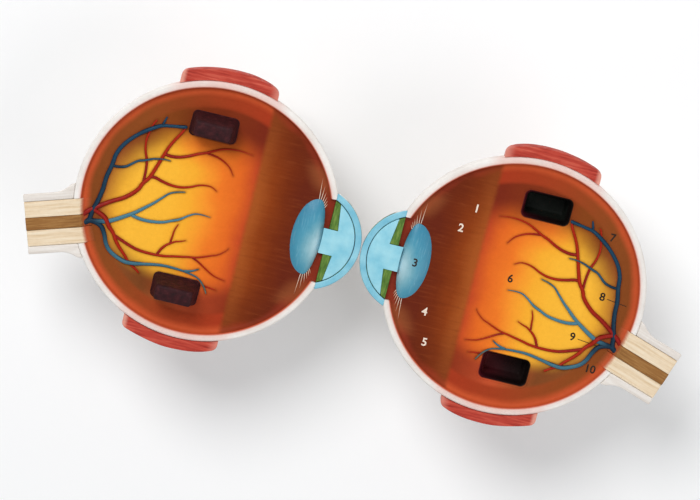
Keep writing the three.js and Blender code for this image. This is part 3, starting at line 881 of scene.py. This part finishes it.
def lens_outline(allowance):
    """The lens seen from above, as a closed loop."""
    loop = []
    for turn in (pi * (i / 28 - 0.5) for i in range(56)):
        reach = LENS_BACK if cos(turn) > 0 else LENS_FRONT
        loop.append((LENS_EQUATOR_X + (reach + allowance) * cos(turn),
                     (LENS_RADIUS + allowance) * sin(turn)))
    return loop


def lens_depth(x, y):
    """How far inside the lens's outline a place lies: 1 at its middle and 0 at its edge."""
    dx = x - LENS_EQUATOR_X
    reach = LENS_BACK if dx > 0 else LENS_FRONT
    return 1 - hypot(dx / reach, y / LENS_RADIUS)


def lens_top(x, y):
    """Height of the lens's domed cut face."""
    rise = clamped(lens_depth(x, y) / LENS_DOME_SHARE)
    return LENS_EDGE_Z + LENS_DOME * (1 - (1 - rise) ** 2.2)


def lens_shape():
    loops = [lens_outline(-inset) for inset in (0, 0.15, 0.4, 0.75)]
    return plate(loops, lambda x, y: lens_depth(x, y) > 0.002, 0.8, lens_top,
                 lambda x, y: -LENS_RADIUS * ball_height(1, 1 - lens_depth(x, y)) - 2.4)


def lens_hole():
    """The room for the lens, used only to cut the ciliary body."""
    outer = lens_outline(ROOM)
    rings = []
    for z in (-14.5, -12, -9, -6, -4):
        share = sqrt(1 - (z / (LENS_RADIUS + 0.5)) ** 2)
        rings.append([(LENS_EQUATOR_X + (x - LENS_EQUATOR_X) * share, y * share, z)
                      for x, y in outer])
    return stacked([*rings, level(outer, 1)])


def ciliary_shape():
    """The brown front zone, which fills the recess from the ora to the cornea."""
    radius = RIM_INSIDE - 0.02
    opening = LIMBUS_OPENING - 0.1
    front, back = LIMBUS_X + 0.08, ORA_X - 0.005
    upper = circle_part(radius, acos(back / radius), pi - asin(opening / radius), 60)
    upper += line_part((-sqrt(radius ** 2 - opening ** 2), opening), (front, opening), 4)
    upper.append((front, opening))
    lower = [(x, -y) for x, y in reversed(upper)]
    loop = upper + line_part(upper[-1], lower[0], 44) + lower + line_part(lower[-1], upper[0], 100)

    def holds(x, y):
        in_ball = hypot(x, y) < radius - 1e-4
        return front < x < back and (in_ball or (abs(y) < opening and x < OPENING_X))

    shape = plate([loop], holds, 0.75, recess, lambda x, y: -ball_height(46.7, x, y) - 3.2)
    return worked(shape, cut=[lens_hole(), rod(PUPIL, -50, LENS_EQUATOR_X, steps=72)])


def layer_shape(low, high, steps, has_passage=False):
    """A layer of the wall behind the ora: a bowl whose lip follows the recess."""
    profile = ball_outline(high, recess(high, 0) - 0.02, 30)
    profile += [(rho, recess(rho, 0)) for rho in spaced(high, low, steps)]
    profile += ball_outline(low, recess(low, 0) - 0.02, 20)[::-1]
    cutters = [beyond(ORA_X, -FAR)]
    if has_passage:
        cutters.append(rod(NERVE + ROOM, 42, 60, NERVE_ANGLE))
    return worked(lathe(profile, 320), cut=cutters)


def socket_form(sign, levels, least, share):
    """A form with the sockets' outline, from levels of (height, how much wider it is)."""
    rings = []
    for z, wider in levels:
        half = [size + wider for size in SOCKET_HALF]
        corner = max(least, SOCKET_CORNER + wider * share)
        rings.append(level(rounded_loop((SOCKET_X, sign * SOCKET_Y), half, corner), z))
    return stacked(rings)


def peg_shape(sign):
    """A peg with a rounded top and a soft fillet at its foot."""
    levels = [(z, wider - PEG_CLEARANCE) for z, wider in PEG_LEVELS]
    return socket_form(sign, levels, 0.9, 0.5)


def vitreous_shape(has_sockets):
    first = acos(ORA_X / VITREOUS)
    loop = circle_part(VITREOUS, first, -first, 260)
    loop += line_part(loop[-1], loop[0], 90)

    shape = plate([loop], lambda x, y: x > ORA_X and hypot(x, y) < VITREOUS - 0.002, 0.55,
                  recess, lambda x, y: -ball_height(VITREOUS, x, y) - 0.6)
    if not has_sockets:
        return shape
    return worked(shape, cut=[socket_form(sign, SOCKET_LEVELS, 0.8, 0.6) for sign in (1, -1)])


def sclera_shape():
    profile = bowl_profile(EYEBALL, RIM_INSIDE, 0.9, 44, 22)
    return worked(lathe(profile, 200), cut=[
        rod(LIMBUS_OPENING, -60, 0), beyond(LIMBUS_X, -FAR),
        rod(NERVE + ROOM, 40, 60, NERVE_ANGLE)])


def cornea_shape():
    profile = bowl_profile(CORNEA_OUTSIDE, CORNEA_INSIDE, 0.5, 30, 16)
    return worked(lathe(profile, 150, CORNEA_CENTRE_X), cut=[beyond(LIMBUS_X - 0.05, FAR)])


def iris_outline():
    """The iris's section on one side, as (along the eye's axis, distance from it)."""
    edge, back_x = LIMBUS_X - IRIS_DEPTH, LIMBUS_X - 0.04
    front = [(edge + IRIS_SLOPE * (rho - PUPIL), rho) for rho in spaced(PUPIL, IRIS_EDGE, 12)]
    root = [(x, ball_height(CHAMBER, x - CORNEA_CENTRE_X) - 0.08)
            for x in spaced(front[-1][0], back_x, 5)[1:]]
    return front + root + [(back_x, rho) for rho in spaced(root[-1][1], PUPIL, 10)[1:]]


def aqueous_shape():
    """The chamber in front of the lens, with room for the iris and the lens."""
    lip = 0.5
    profile = ball_outline(CHAMBER, -lip, 24)
    profile += [(CHAMBER - way, z) for way, z in lip_bend(lip, (0.5, 0.87))]
    profile += [(CHAMBER - lip, 0), (CHAMBER * 0.7, 0), (CHAMBER * 0.4, 0), (0, 0)]
    ring, ring_faces = half_turn([
        (LIMBUS_X - 3.5, PUPIL - 0.1), (LIMBUS_X - 1.55, 19.98), (1, 19.98), (1, PUPIL - 0.1)], 48)
    lens_room = lens_outline(0.05)
    return worked(lathe(profile, 120, CORNEA_CENTRE_X), cut=[
        (ring + (0, 0, 0.4), ring_faces), stacked([level(lens_room, z) for z in (-20, 1)]),
        beyond(LENS_EQUATOR_X, FAR)])


def sheath_shape():
    """The nerve's white sheath, flared where it grows onto the sclera."""
    inside = NERVE + ROOM
    outline = [(ball_height(EYEBALL + 0.02, rho), rho)
               for rho in spaced(inside, SHEATH + SHEATH_FLARE, 6)]
    outline += [(x, SHEATH + SHEATH_FLARE * (1 - i / 10) ** 2.2)
                for i, x in enumerate(spaced(*FLARE_REACH, 10)) if i]
    outline += [(x, SHEATH) for x in spaced(FLARE_REACH[1], NERVE_REACH, 8)[1:]]
    outline += [(NERVE_REACH, rho) for rho in spaced(SHEATH, inside, 3)[1:]]
    outline += [(x, inside) for x in spaced(NERVE_REACH, 50.3, 14)[1:-1]]
    return worked(half_turn(outline, 56, NERVE_ANGLE), bevel=0.45)


def nerve_top(u, v):
    """Height of the nerve's cut face: level outside, down to the recess inside the eyeball."""
    x = u * cos(NERVE_ANGLE) - v * sin(NERVE_ANGLE)
    y = u * sin(NERVE_ANGLE) + v * cos(NERVE_ANGLE)
    r = hypot(x, y)
    wall = RISE_START + 0.2
    low = recess(x, y) if r < wall else recess(wall, 0)
    return low + (NERVE_LEVEL - low) * smooth((r - RISE_START) / RISE_LENGTH)


def along_nerve(reach, vs, top, bottom):
    """A slab along the nerve, from the retina to its reach."""
    def place(share, v):
        start = ball_height(RETINA[1] + 0.02, v)
        return start + (reach - start) * share
    return turned(slab(spaced(0, 1, 70, 0.02), vs, place, top, bottom), NERVE_ANGLE)


def fibres_shape():
    """The nerve's fibres, with a groove for the core."""
    reach = NERVE_REACH - 0.1

    def top(u, v):
        drop = rounded_edge(NERVE - abs(v), 0.4) + rounded_edge(reach - u, 0.4)
        return nerve_top(u, v) - max(drop, ball_height(CORE + ROOM, v))

    side = [0, 0.5, 0.9, 1.3, 1.7, 2.0, 2.2, 2.35, 2.45, CORE + ROOM, 2.7, 3.0, 3.5, 4.2, 5, 5.8,
            6.6, 7.3, 7.8, 8.1, 8.25, 8.38, 8.46, NERVE]
    return along_nerve(reach, [-v for v in reversed(side[1:])] + side, top,
                       lambda u, v: -ball_height(NERVE, v) - 0.1)


def core_shape():
    def top(u, v):
        return (nerve_top(u, v) + 0.1 - rounded_edge(CORE - abs(v), 0.6)
                - rounded_edge(NERVE_REACH - u, 0.4))

    return along_nerve(NERVE_REACH, spaced(-CORE, CORE, 12, 0.5), top,
                       lambda u, v: nerve_top(u, v) - ball_height(CORE, v) - 0.02)


def muscle_shape(kind):
    """A rectus muscle: a slab on the eyeball, thinner at its front, with a fibrous surface.
    Drawn as seen from outside the eyeball, with the height away from its centre. The foot is
    whole and flat underneath, and the others are cut lengthwise by the cut face."""
    is_cut = kind != "foot"
    front_x, front_y = MUSCLE_FRONT + FRONT_CORNER, MUSCLE_HALF - FRONT_CORNER
    back_x, back_y = MUSCLE_BACK - BACK_CORNER, MUSCLE_HALF - BACK_CORNER
    cut_edge, cut_round = -0.04, 0.4

    def outline(inset):
        loop = looped([
            quarter(back_x, back_y, BACK_CORNER - inset, 0, 6),
            quarter(front_x, front_y, FRONT_CORNER - inset, 1, 14),
            quarter(front_x, -front_y, FRONT_CORNER - inset, 2, 14),
            quarter(back_x, -back_y, BACK_CORNER - inset, 3, 6)], 18)
        if not is_cut:
            return loop
        edge = cut_edge - inset
        loop = [p for p in loop if p[1] < edge - 0.02]
        right, left = (loop[-1][0], edge), (loop[0][0], edge)
        return loop + [right, *line_part(right, left, 44), left]

    def depth(s, t):
        """Distance inside the outline."""
        best = min(s - MUSCLE_FRONT, MUSCLE_BACK - s, MUSCLE_HALF - abs(t))
        if s < front_x and abs(t) > front_y:
            best = min(best, FRONT_CORNER - hypot(s - front_x, abs(t) - front_y))
        if s > back_x and abs(t) > back_y:
            best = min(best, BACK_CORNER - hypot(s - back_x, abs(t) - back_y))
        return best

    def top(s, t):
        inside = max(0, depth(s, t))
        thin = MUSCLE_THINNING * (1 - clamped((s - MUSCLE_FRONT) / THINNING_LENGTH)) ** 2
        fibres = MUSCLE_FIBRE * sin(2.3 * t + 0.5 * sin(0.35 * s)) * min(1, depth(s, t) / 2)
        height = ball_height(MUSCLE_OUTSIDE, s, t) - 0.12 - thin + fibres
        height -= rounded_edge(inside, MUSCLE_ROUND)
        if is_cut and -t < cut_round:
            height -= rounded_edge(max(0, min(inside, -t)), cut_round)
        return height if is_cut else min(height, FACE_Z)

    loops = [outline(inset) for inset in (0, 0.12, 0.35, 0.7, 1.15)]
    corners, faces = plate(
        loops, lambda s, t: depth(s, t) > 0.01 and (not is_cut or t < cut_edge), 0.9, top,
        lambda s, t: ball_height(EYEBALL + 0.06, s, t))
    s, t, w = corners.T
    if kind == "foot":
        return np.column_stack([s, -t, -w]), faces
    if kind == "superior":
        return np.column_stack([s, w, t]), [face[::-1] for face in faces]
    return np.column_stack([s, -w, t]), faces


def clear_of_socket(x, y):
    """A vessel's place, moved away from the socket on its side if it is too near."""
    place = Vector((x / 1000, y / 1000)) * VESSEL_SCALE
    middle = Vector((SOCKET_X, copysign(SOCKET_Y, y)))
    reach = Vector(SOCKET_HALF) - Vector((SOCKET_CORNER, SOCKET_CORNER))
    nearest = Vector((max(middle.x - reach.x, min(middle.x + reach.x, place.x)),
                      max(middle.y - reach.y, min(middle.y + reach.y, place.y))))
    away = place - nearest
    return nearest + away.normalized() * max(SOCKET_CORNER + VESSEL_DETOUR, away.length)


def smooth_path(route):
    """An even row of places along a smooth curve through a route."""
    pts = [clear_of_socket(x, y) for x, y in zip(route[::2], route[1::2])]
    pts = [2 * pts[0] - pts[1], *pts, 2 * pts[-1] - pts[-2]]
    dense = []
    for a, b, c, d in zip(pts, pts[1:], pts[2:], pts[3:]):
        t0, t1 = 0.0, (b - a).length ** 0.5
        t2 = t1 + (c - b).length ** 0.5
        t3 = t2 + (d - c).length ** 0.5
        for t in spaced(t1, t2, 24)[:-1]:
            def blend(p, q, tp, tq):
                return p * ((tq - t) / (tq - tp)) + q * ((t - tp) / (tq - tp))
            ab, bc, cd = blend(a, b, t0, t1), blend(b, c, t1, t2), blend(c, d, t2, t3)
            dense.append(blend(blend(ab, bc, t0, t2), blend(bc, cd, t1, t3), t1, t2))
    dense.append(pts[-2])
    lengths = [0.0]
    for p, q in zip(dense, dense[1:]):
        lengths.append(lengths[-1] + (q - p).length)
    path, k = [], 0
    for want in spaced(0, lengths[-1], max(4, round(lengths[-1] / PATH_SPACING))):
        while k < len(lengths) - 2 and lengths[k + 1] < want:
            k += 1
        share = (want - lengths[k]) / max(1e-9, lengths[k + 1] - lengths[k])
        path.append(dense[k].lerp(dense[k + 1], min(1, share)))
    return path


def hump(tree, place):
    """How far to climb over the nearest vessel of a tree: 1 right over it and 0 well away."""
    if place.x > NERVE_MOUTH[0] and place.y < NERVE_MOUTH[1]:
        return 0.0
    return smooth((CLIMB_START - tree.find((place.x, place.y, 0))[2]) / CLIMB_LENGTH)


def ground(x, y):
    """The surface that a vessel lies on. Where the nerve rises to the cut face's level, the
    vessels keep theirs and sink into it."""
    inwards = min(1.0, GROUND_END / hypot(x, y))
    return recess(x * inwards, y * inwards)


def half_widths(path, width, tip):
    """Half of a vessel's width at each place of its path."""
    last = len(path) - 1
    return [(width + (tip - width) * (i / last) ** 1.5) / 2 for i in range(last + 1)]


def ridge(path, width, tip, over=None, climb=0.0):
    """One vessel as a smooth ridge with round ends, sunk a little into the surface, and raised
    by its climb over the vessels of a tree."""
    section = [(1.16, -0.62), (1.0, 0.0), (0.93, 0.35), (0.74, 0.68), (0.42, 0.92), (0.0, 1.0),
               (-0.42, 0.92), (-0.74, 0.68), (-0.93, 0.35), (-1.0, 0.0), (-1.16, -0.62)]
    rings, way = [], []
    last = len(path) - 1
    for i, (place, half) in enumerate(zip(path, half_widths(path, width, tip))):
        along = (path[min(last, i + 1)] - path[max(0, i - 1)]).normalized()
        from_end = min(i + 0.35, last - i + 0.3) * PATH_SPACING / max(half, 0.3)
        half *= sqrt(max(0.05, 1 - (1 - min(1.0, from_end)) ** 2))
        floor = ground(place.x, place.y) + (climb * hump(over, place) if climb else 0.0)
        rings.append([(place.x - along.y * side * half, place.y + along.x * side * half,
                       floor + up * (half * RIDGE_TOP if up >= 0 else RIDGE_FOOT))
                      for side, up in section])
        way += [i / last] * len(section)
    crest = [max(0.0, up) for _, up in section] * len(path)
    corners, faces = stacked(rings)
    # The first corner of a face picks the diagonal on which it folds
    return (corners, [face[1:] + face[:1] for face in faces]), way, crest


def lightening(tone, reach, count):
    """How light a vessel is painted at each place of its path, dark near its root."""
    return [tone * smooth((i * PATH_SPACING / reach - 0.35) / 0.65) for i in range(count)]


def vessel_trees():
    """Arteries and veins, each as one shape with its shader values, and the half widths at all
    the places of their paths, with a tree to find those."""
    artery_paths, vein_paths = (
        [smooth_path(route) for _, _, route in kinds] for kinds in (ARTERIES, VEINS))
    all_arteries = flat_tree(sum(artery_paths, []))
    most_arteries = flat_tree(sum((path for i, path in enumerate(artery_paths)
                                   if i != ARTERY_ABOVE), []))
    artery_climbs = [(None, 0.0)] * len(ARTERIES)
    artery_climbs[ARTERY_ABOVE] = (flat_tree(vein_paths[VEIN_BELOW]), ARTERY_CLIMB)
    vein_climbs = [(all_arteries, VEIN_CLIMB)] * len(VEINS)
    vein_climbs[VEIN_BELOW] = (most_arteries, VEIN_CLIMB)
    trees, halves = [], []
    for kinds, paths, climbs, tones in ((ARTERIES, artery_paths, artery_climbs, ARTERY_TONES),
                                        (VEINS, vein_paths, vein_climbs, VEIN_TONES)):
        shapes, way, crest, tone = [], [], [], []
        for (width, tip, _), path, climb, light in zip(kinds, paths, climbs, tones):
            shape, places, heights = ridge(path, width, tip, *climb)
            shapes.append(shape)
            way += [place * (1.0 if tip < 0.6 else 0.7) for place in places]
            crest += heights
            tone += np.repeat(lightening(*light, len(path)), len(places) // len(path)).tolist()
            halves += half_widths(path, width, tip)
        trees.append((*joined(shapes), {"way": way, "crest": crest, "tone": tone}))
    return *trees, flat_tree(sum(artery_paths + vein_paths, [])), halves


def number_shape(text, centre, height_at=recess):
    """A plain number printed on the cut face."""
    curve = having(bpy.data.curves.new("number", "FONT"), body=text,
                   size=NUMBER_HEIGHT / CAPITAL_SHARE, align_x="CENTER", align_y="CENTER",
                   resolution_u=5, offset=0.09, extrude=0.06)
    thing = put("number", curve)
    mesh = evaluated_mesh(thing)
    closed = bmesh.new()
    closed.from_mesh(mesh)
    bmesh.ops.remove_doubles(closed, verts=closed.verts, dist=1e-4)
    bmesh.ops.recalc_face_normals(closed, faces=closed.faces)
    corners = []
    for vertex in closed.verts:
        x, y = vertex.co.x + centre[0], vertex.co.y + centre[1]
        corners.append((x, y, height_at(x, y) + (INK_TOP if vertex.co.z > 0 else INK_FOOT)))
    closed.verts.index_update()
    faces = [tuple(vertex.index for vertex in face.verts) for face in closed.faces]
    closed.free()
    bpy.data.meshes.remove(mesh)
    bpy.data.objects.remove(thing)
    bpy.data.curves.remove(curve)
    return np.array(corners), faces


def leader_shape(start, end):
    """A thin printed line from a number to the place it names."""
    path = [Vector(start).lerp(Vector(end), i / 24) for i in range(25)]
    return ridge(path, LEADER_WIDTH, LEADER_WIDTH)[0]


def zonules_shape():
    """Fine pale fibres that fan out from both ends of the lens to the wall."""
    fibres, way = [], []
    for turn in ZONULE_TURNS:
        along = Vector((sin(radians(turn)), cos(radians(turn))))
        start = Vector((LENS_EQUATOR_X, ZONULE_START_Y))
        while lens_depth(start.x, start.y) > 0.015:
            start = start + along * 0.1
        end = start
        while (end.length < RIM_INSIDE - ZONULE_ROOM[0] and end.x > LIMBUS_X + ZONULE_ROOM[1]
               and (end - start).length < ZONULE_LENGTH):
            end = end + along * 0.1
        upper = [start.lerp(end, i / 16) for i in range(17)]
        for path in (upper, [Vector((p.x, -p.y)) for p in upper]):
            shape, places, _ = ridge(path, *ZONULE_WIDTHS)
            fibres.append(shape)
            way += places
    return *joined(fibres), {"way": way}


# Pieces

SHADED = ("choroid", "retina", "vitreous", "nerve", "core")


def shade_near_vessels(corners):
    """How dark the painted shadow beside the vessels is at each corner of a shape."""
    shades = []
    for x, y, _ in corners:
        _, index, distance = VESSEL_TREE.find((x, y, 0))
        shades.append(clamped(1 - (distance - VESSEL_HALVES[index]) / SHADE_REACH) ** 2)
    return shades


def add_piece(side, node, shape, paint, slot=None, sharp=40, is_foam=True):
    """Adds a piece that rides on a half. Its shape may bring values for its shader. A foam piece
    takes the place of its node."""
    name = f"{side}_{node}_{'foam' if is_foam else 'ink'}"
    corners, faces, *values = shape
    mirror = SIDES[side]
    placed = np.column_stack([
        mirror * (corners[:, 0] + CENTRE_X), corners[:, 1], corners[:, 2] + FACE_Z]) * MM
    if mirror < 0:
        faces = [tuple(reversed(face)) for face in faces]
    mesh = new_mesh(name, placed, faces)
    spots = mesh.attributes.new("eye", "FLOAT_VECTOR", "POINT")
    spots.data.foreach_set("vector", corners.astype(np.float32).ravel())
    if paint in SHADED:
        values = [{"shade": shade_near_vessels(corners)}]
    for key, numbers in values[0].items() if values else ():
        kept = mesh.attributes.new(key, "FLOAT", "POINT")
        kept.data.foreach_set("value", np.asarray(numbers, dtype=np.float32))
    mesh.shade_smooth()
    mesh.set_sharp_from_angle(angle=radians(sharp))
    mesh.materials.append(PAINTS[paint])
    piece = put(name, mesh)
    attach(piece, f"{side}_half")
    if is_foam:
        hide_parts(f"{side}_{node}")
    slot or node


ARTERY_TREE, VEIN_TREE, VESSEL_TREE, VESSEL_HALVES = vessel_trees()
# The shape and paint of each piece that both halves have, and its slot if not its node's name
SHARED = {
    "sclera": (sclera_shape(), "sclera"),
    "choroid": (layer_shape(*CHOROID, 14, has_passage=True), "choroid"),
    "retina": (layer_shape(*RETINA, 6), "retina"),
    "ciliary_body": (ciliary_shape(), "ciliary"),
    "lens": (lens_shape(), "lens"),
    "iris": (worked(half_turn(iris_outline(), 56), bevel=0.25), "iris"),
    "aqueous_humour": (aqueous_shape(), "aqueous"),
    "cornea": (cornea_shape(), "cornea"),
    "nerve_sheath": (sheath_shape(), "sheath", "sclera"),
    "nerve_fibres": (fibres_shape(), "nerve", "nerve"),
    "nerve_core": (core_shape(), "core"),
    "superior_rectus": (muscle_shape("superior"), "muscle", "muscle"),
    "inferior_rectus": (muscle_shape("inferior"), "muscle", "muscle"),
}
FEET = {"labelled": "medial_rectus", "plain": "lateral_rectus"}
FOOT_SHAPE = muscle_shape("foot")
ZONULES_SHAPE = zonules_shape()

for side in SIDES:
    for node, shape_paint_slot in SHARED.items():
        add_piece(side, node, *shape_paint_slot)
    add_piece(side, "vitreous", vitreous_shape(side == "labelled"), "vitreous")
    add_piece(side, "arteries", ARTERY_TREE, "artery", sharp=60)
    add_piece(side, "veins", VEIN_TREE, "vein", sharp=60)
    add_piece(side, FEET[side], FOOT_SHAPE, "muscle", "muscle")
    add_piece(side, "zonules", ZONULES_SHAPE, "zonules", "ciliary_body", is_foam=False)
add_piece("plain", "upper_peg", peg_shape(1), "peg", "peg")
add_piece("plain", "lower_peg", peg_shape(-1), "peg", "peg")
for name, shapes, paint, slot in (
        ("pale_numbers", [number_shape(*n) for n in PALE_NUMBERS], "pale_ink", "ciliary_body"),
        ("lens_number", [number_shape(*LENS_NUMBER, lens_top)], "dark_ink", "lens"),
        ("dark_numbers", [number_shape(*n) for n in DARK_NUMBERS], "dark_ink", "vitreous")):
    add_piece("labelled", name, joined(shapes), paint, slot, sharp=30, is_foam=False)
add_piece("labelled", "leader_lines", joined(leader_shape(*ends) for ends in LEADERS),
          "dark_ink", "vitreous", is_foam=False)


# Table, light and camera

FLOOR_HALF = 3
WHITE = (0.985, 0.985, 0.985, 1)


def floor_paint():
    """A pale table that takes the part's shadow, and shows white further away."""
    material = bpy.data.materials.new("floor_paint")
    nodes = Nodes(material)
    table = nodes.node("BsdfPrincipled", {
        "Base Color": (0.97, 0.97, 0.97, 1), "Roughness": 0.9, "Specular IOR Level": 0.1})
    white = nodes.node("Emission", {"Color": WHITE})
    place = nodes.node("TexCoord", output="Object")
    away = nodes.node("VectorMath", {0: place}, "Value", operation="LENGTH")
    seen = away.step(0.22, 0.7) * nodes.node("LightPath", output="Is Camera Ray")
    nodes.make("OutputMaterial", {
        "Surface": nodes.node("MixShader", {0: seen, 1: table, 2: white})})
    return material


floor_corners = [(x * FLOOR_HALF, y * FLOOR_HALF) for x, y in QUARTERS]
floor = put("floor", new_mesh("floor", level(floor_corners, 0), [(2, 3, 0, 1)]))
floor.data.materials.append(floor_paint())

# The world lights the part evenly, and shows white to the camera and in gloss
world = bpy.data.worlds.new("studio")
bpy.context.scene.world = world
studio = Nodes(world)
shown = studio.node("LightPath", output="Is Camera Ray").math(
    "MAXIMUM", studio.node("LightPath", output="Is Glossy Ray"))
ambient = studio.node("Background", {"Color": (0.96, 0.98, 1.0, 1), "Strength": 0.46})
backdrop = studio.node("Background", {"Color": WHITE, "Strength": 1.0})
studio.make("OutputWorld", {
    "Surface": studio.node("MixShader", {0: shown, 1: ambient, 2: backdrop})})

LAMP_TARGET = Vector((0, 0, 0.05))


def lamp(name, place, size, power):
    """A round area light that faces the part."""
    data = having(bpy.data.lights.new(name, "AREA"), shape="DISK", size=size, energy=power)
    having(put(name, data), location=place, rotation_mode="QUATERNION",
           rotation_quaternion=(LAMP_TARGET - Vector(place)).to_track_quat("-Z", "Y"))


lamp("key", (-0.55, 0.75, 1.15), 0.7, 12.4)
lamp("fill", (0.9, -0.3, 0.9), 1.0, 4.0)

# The camera looks down from the photograph's angle, with the part turned as it is there
TILT = radians(14)
ELEVATION = radians(78)
DISTANCE = 1.2
PIXELS_PER_MM = 2.66
PHOTO_WIDTH = 700
SENSOR = 36
AIM_LEFT = 0.004
image_up = Vector((-sin(TILT), cos(TILT), 0))
back = image_up * cos(ELEVATION) + Vector((0, 0, 1)) * sin(ELEVATION)
up = image_up * sin(ELEVATION) - Vector((0, 0, 1)) * cos(ELEVATION)
right = up.cross(back)
camera = put("camera", having(bpy.data.cameras.new("camera"), sensor_width=SENSOR,
                              lens=PIXELS_PER_MM / MM * SENSOR * DISTANCE / PHOTO_WIDTH))
camera.matrix_world = Matrix((right, up, back)).transposed().to_4x4()
camera.location = Vector((0, 0, FACE_Z * MM)) - right * AIM_LEFT + back * DISTANCE
bpy.context.scene.camera = camera
bpy.context.scene.view_settings.view_transform = "Standard"
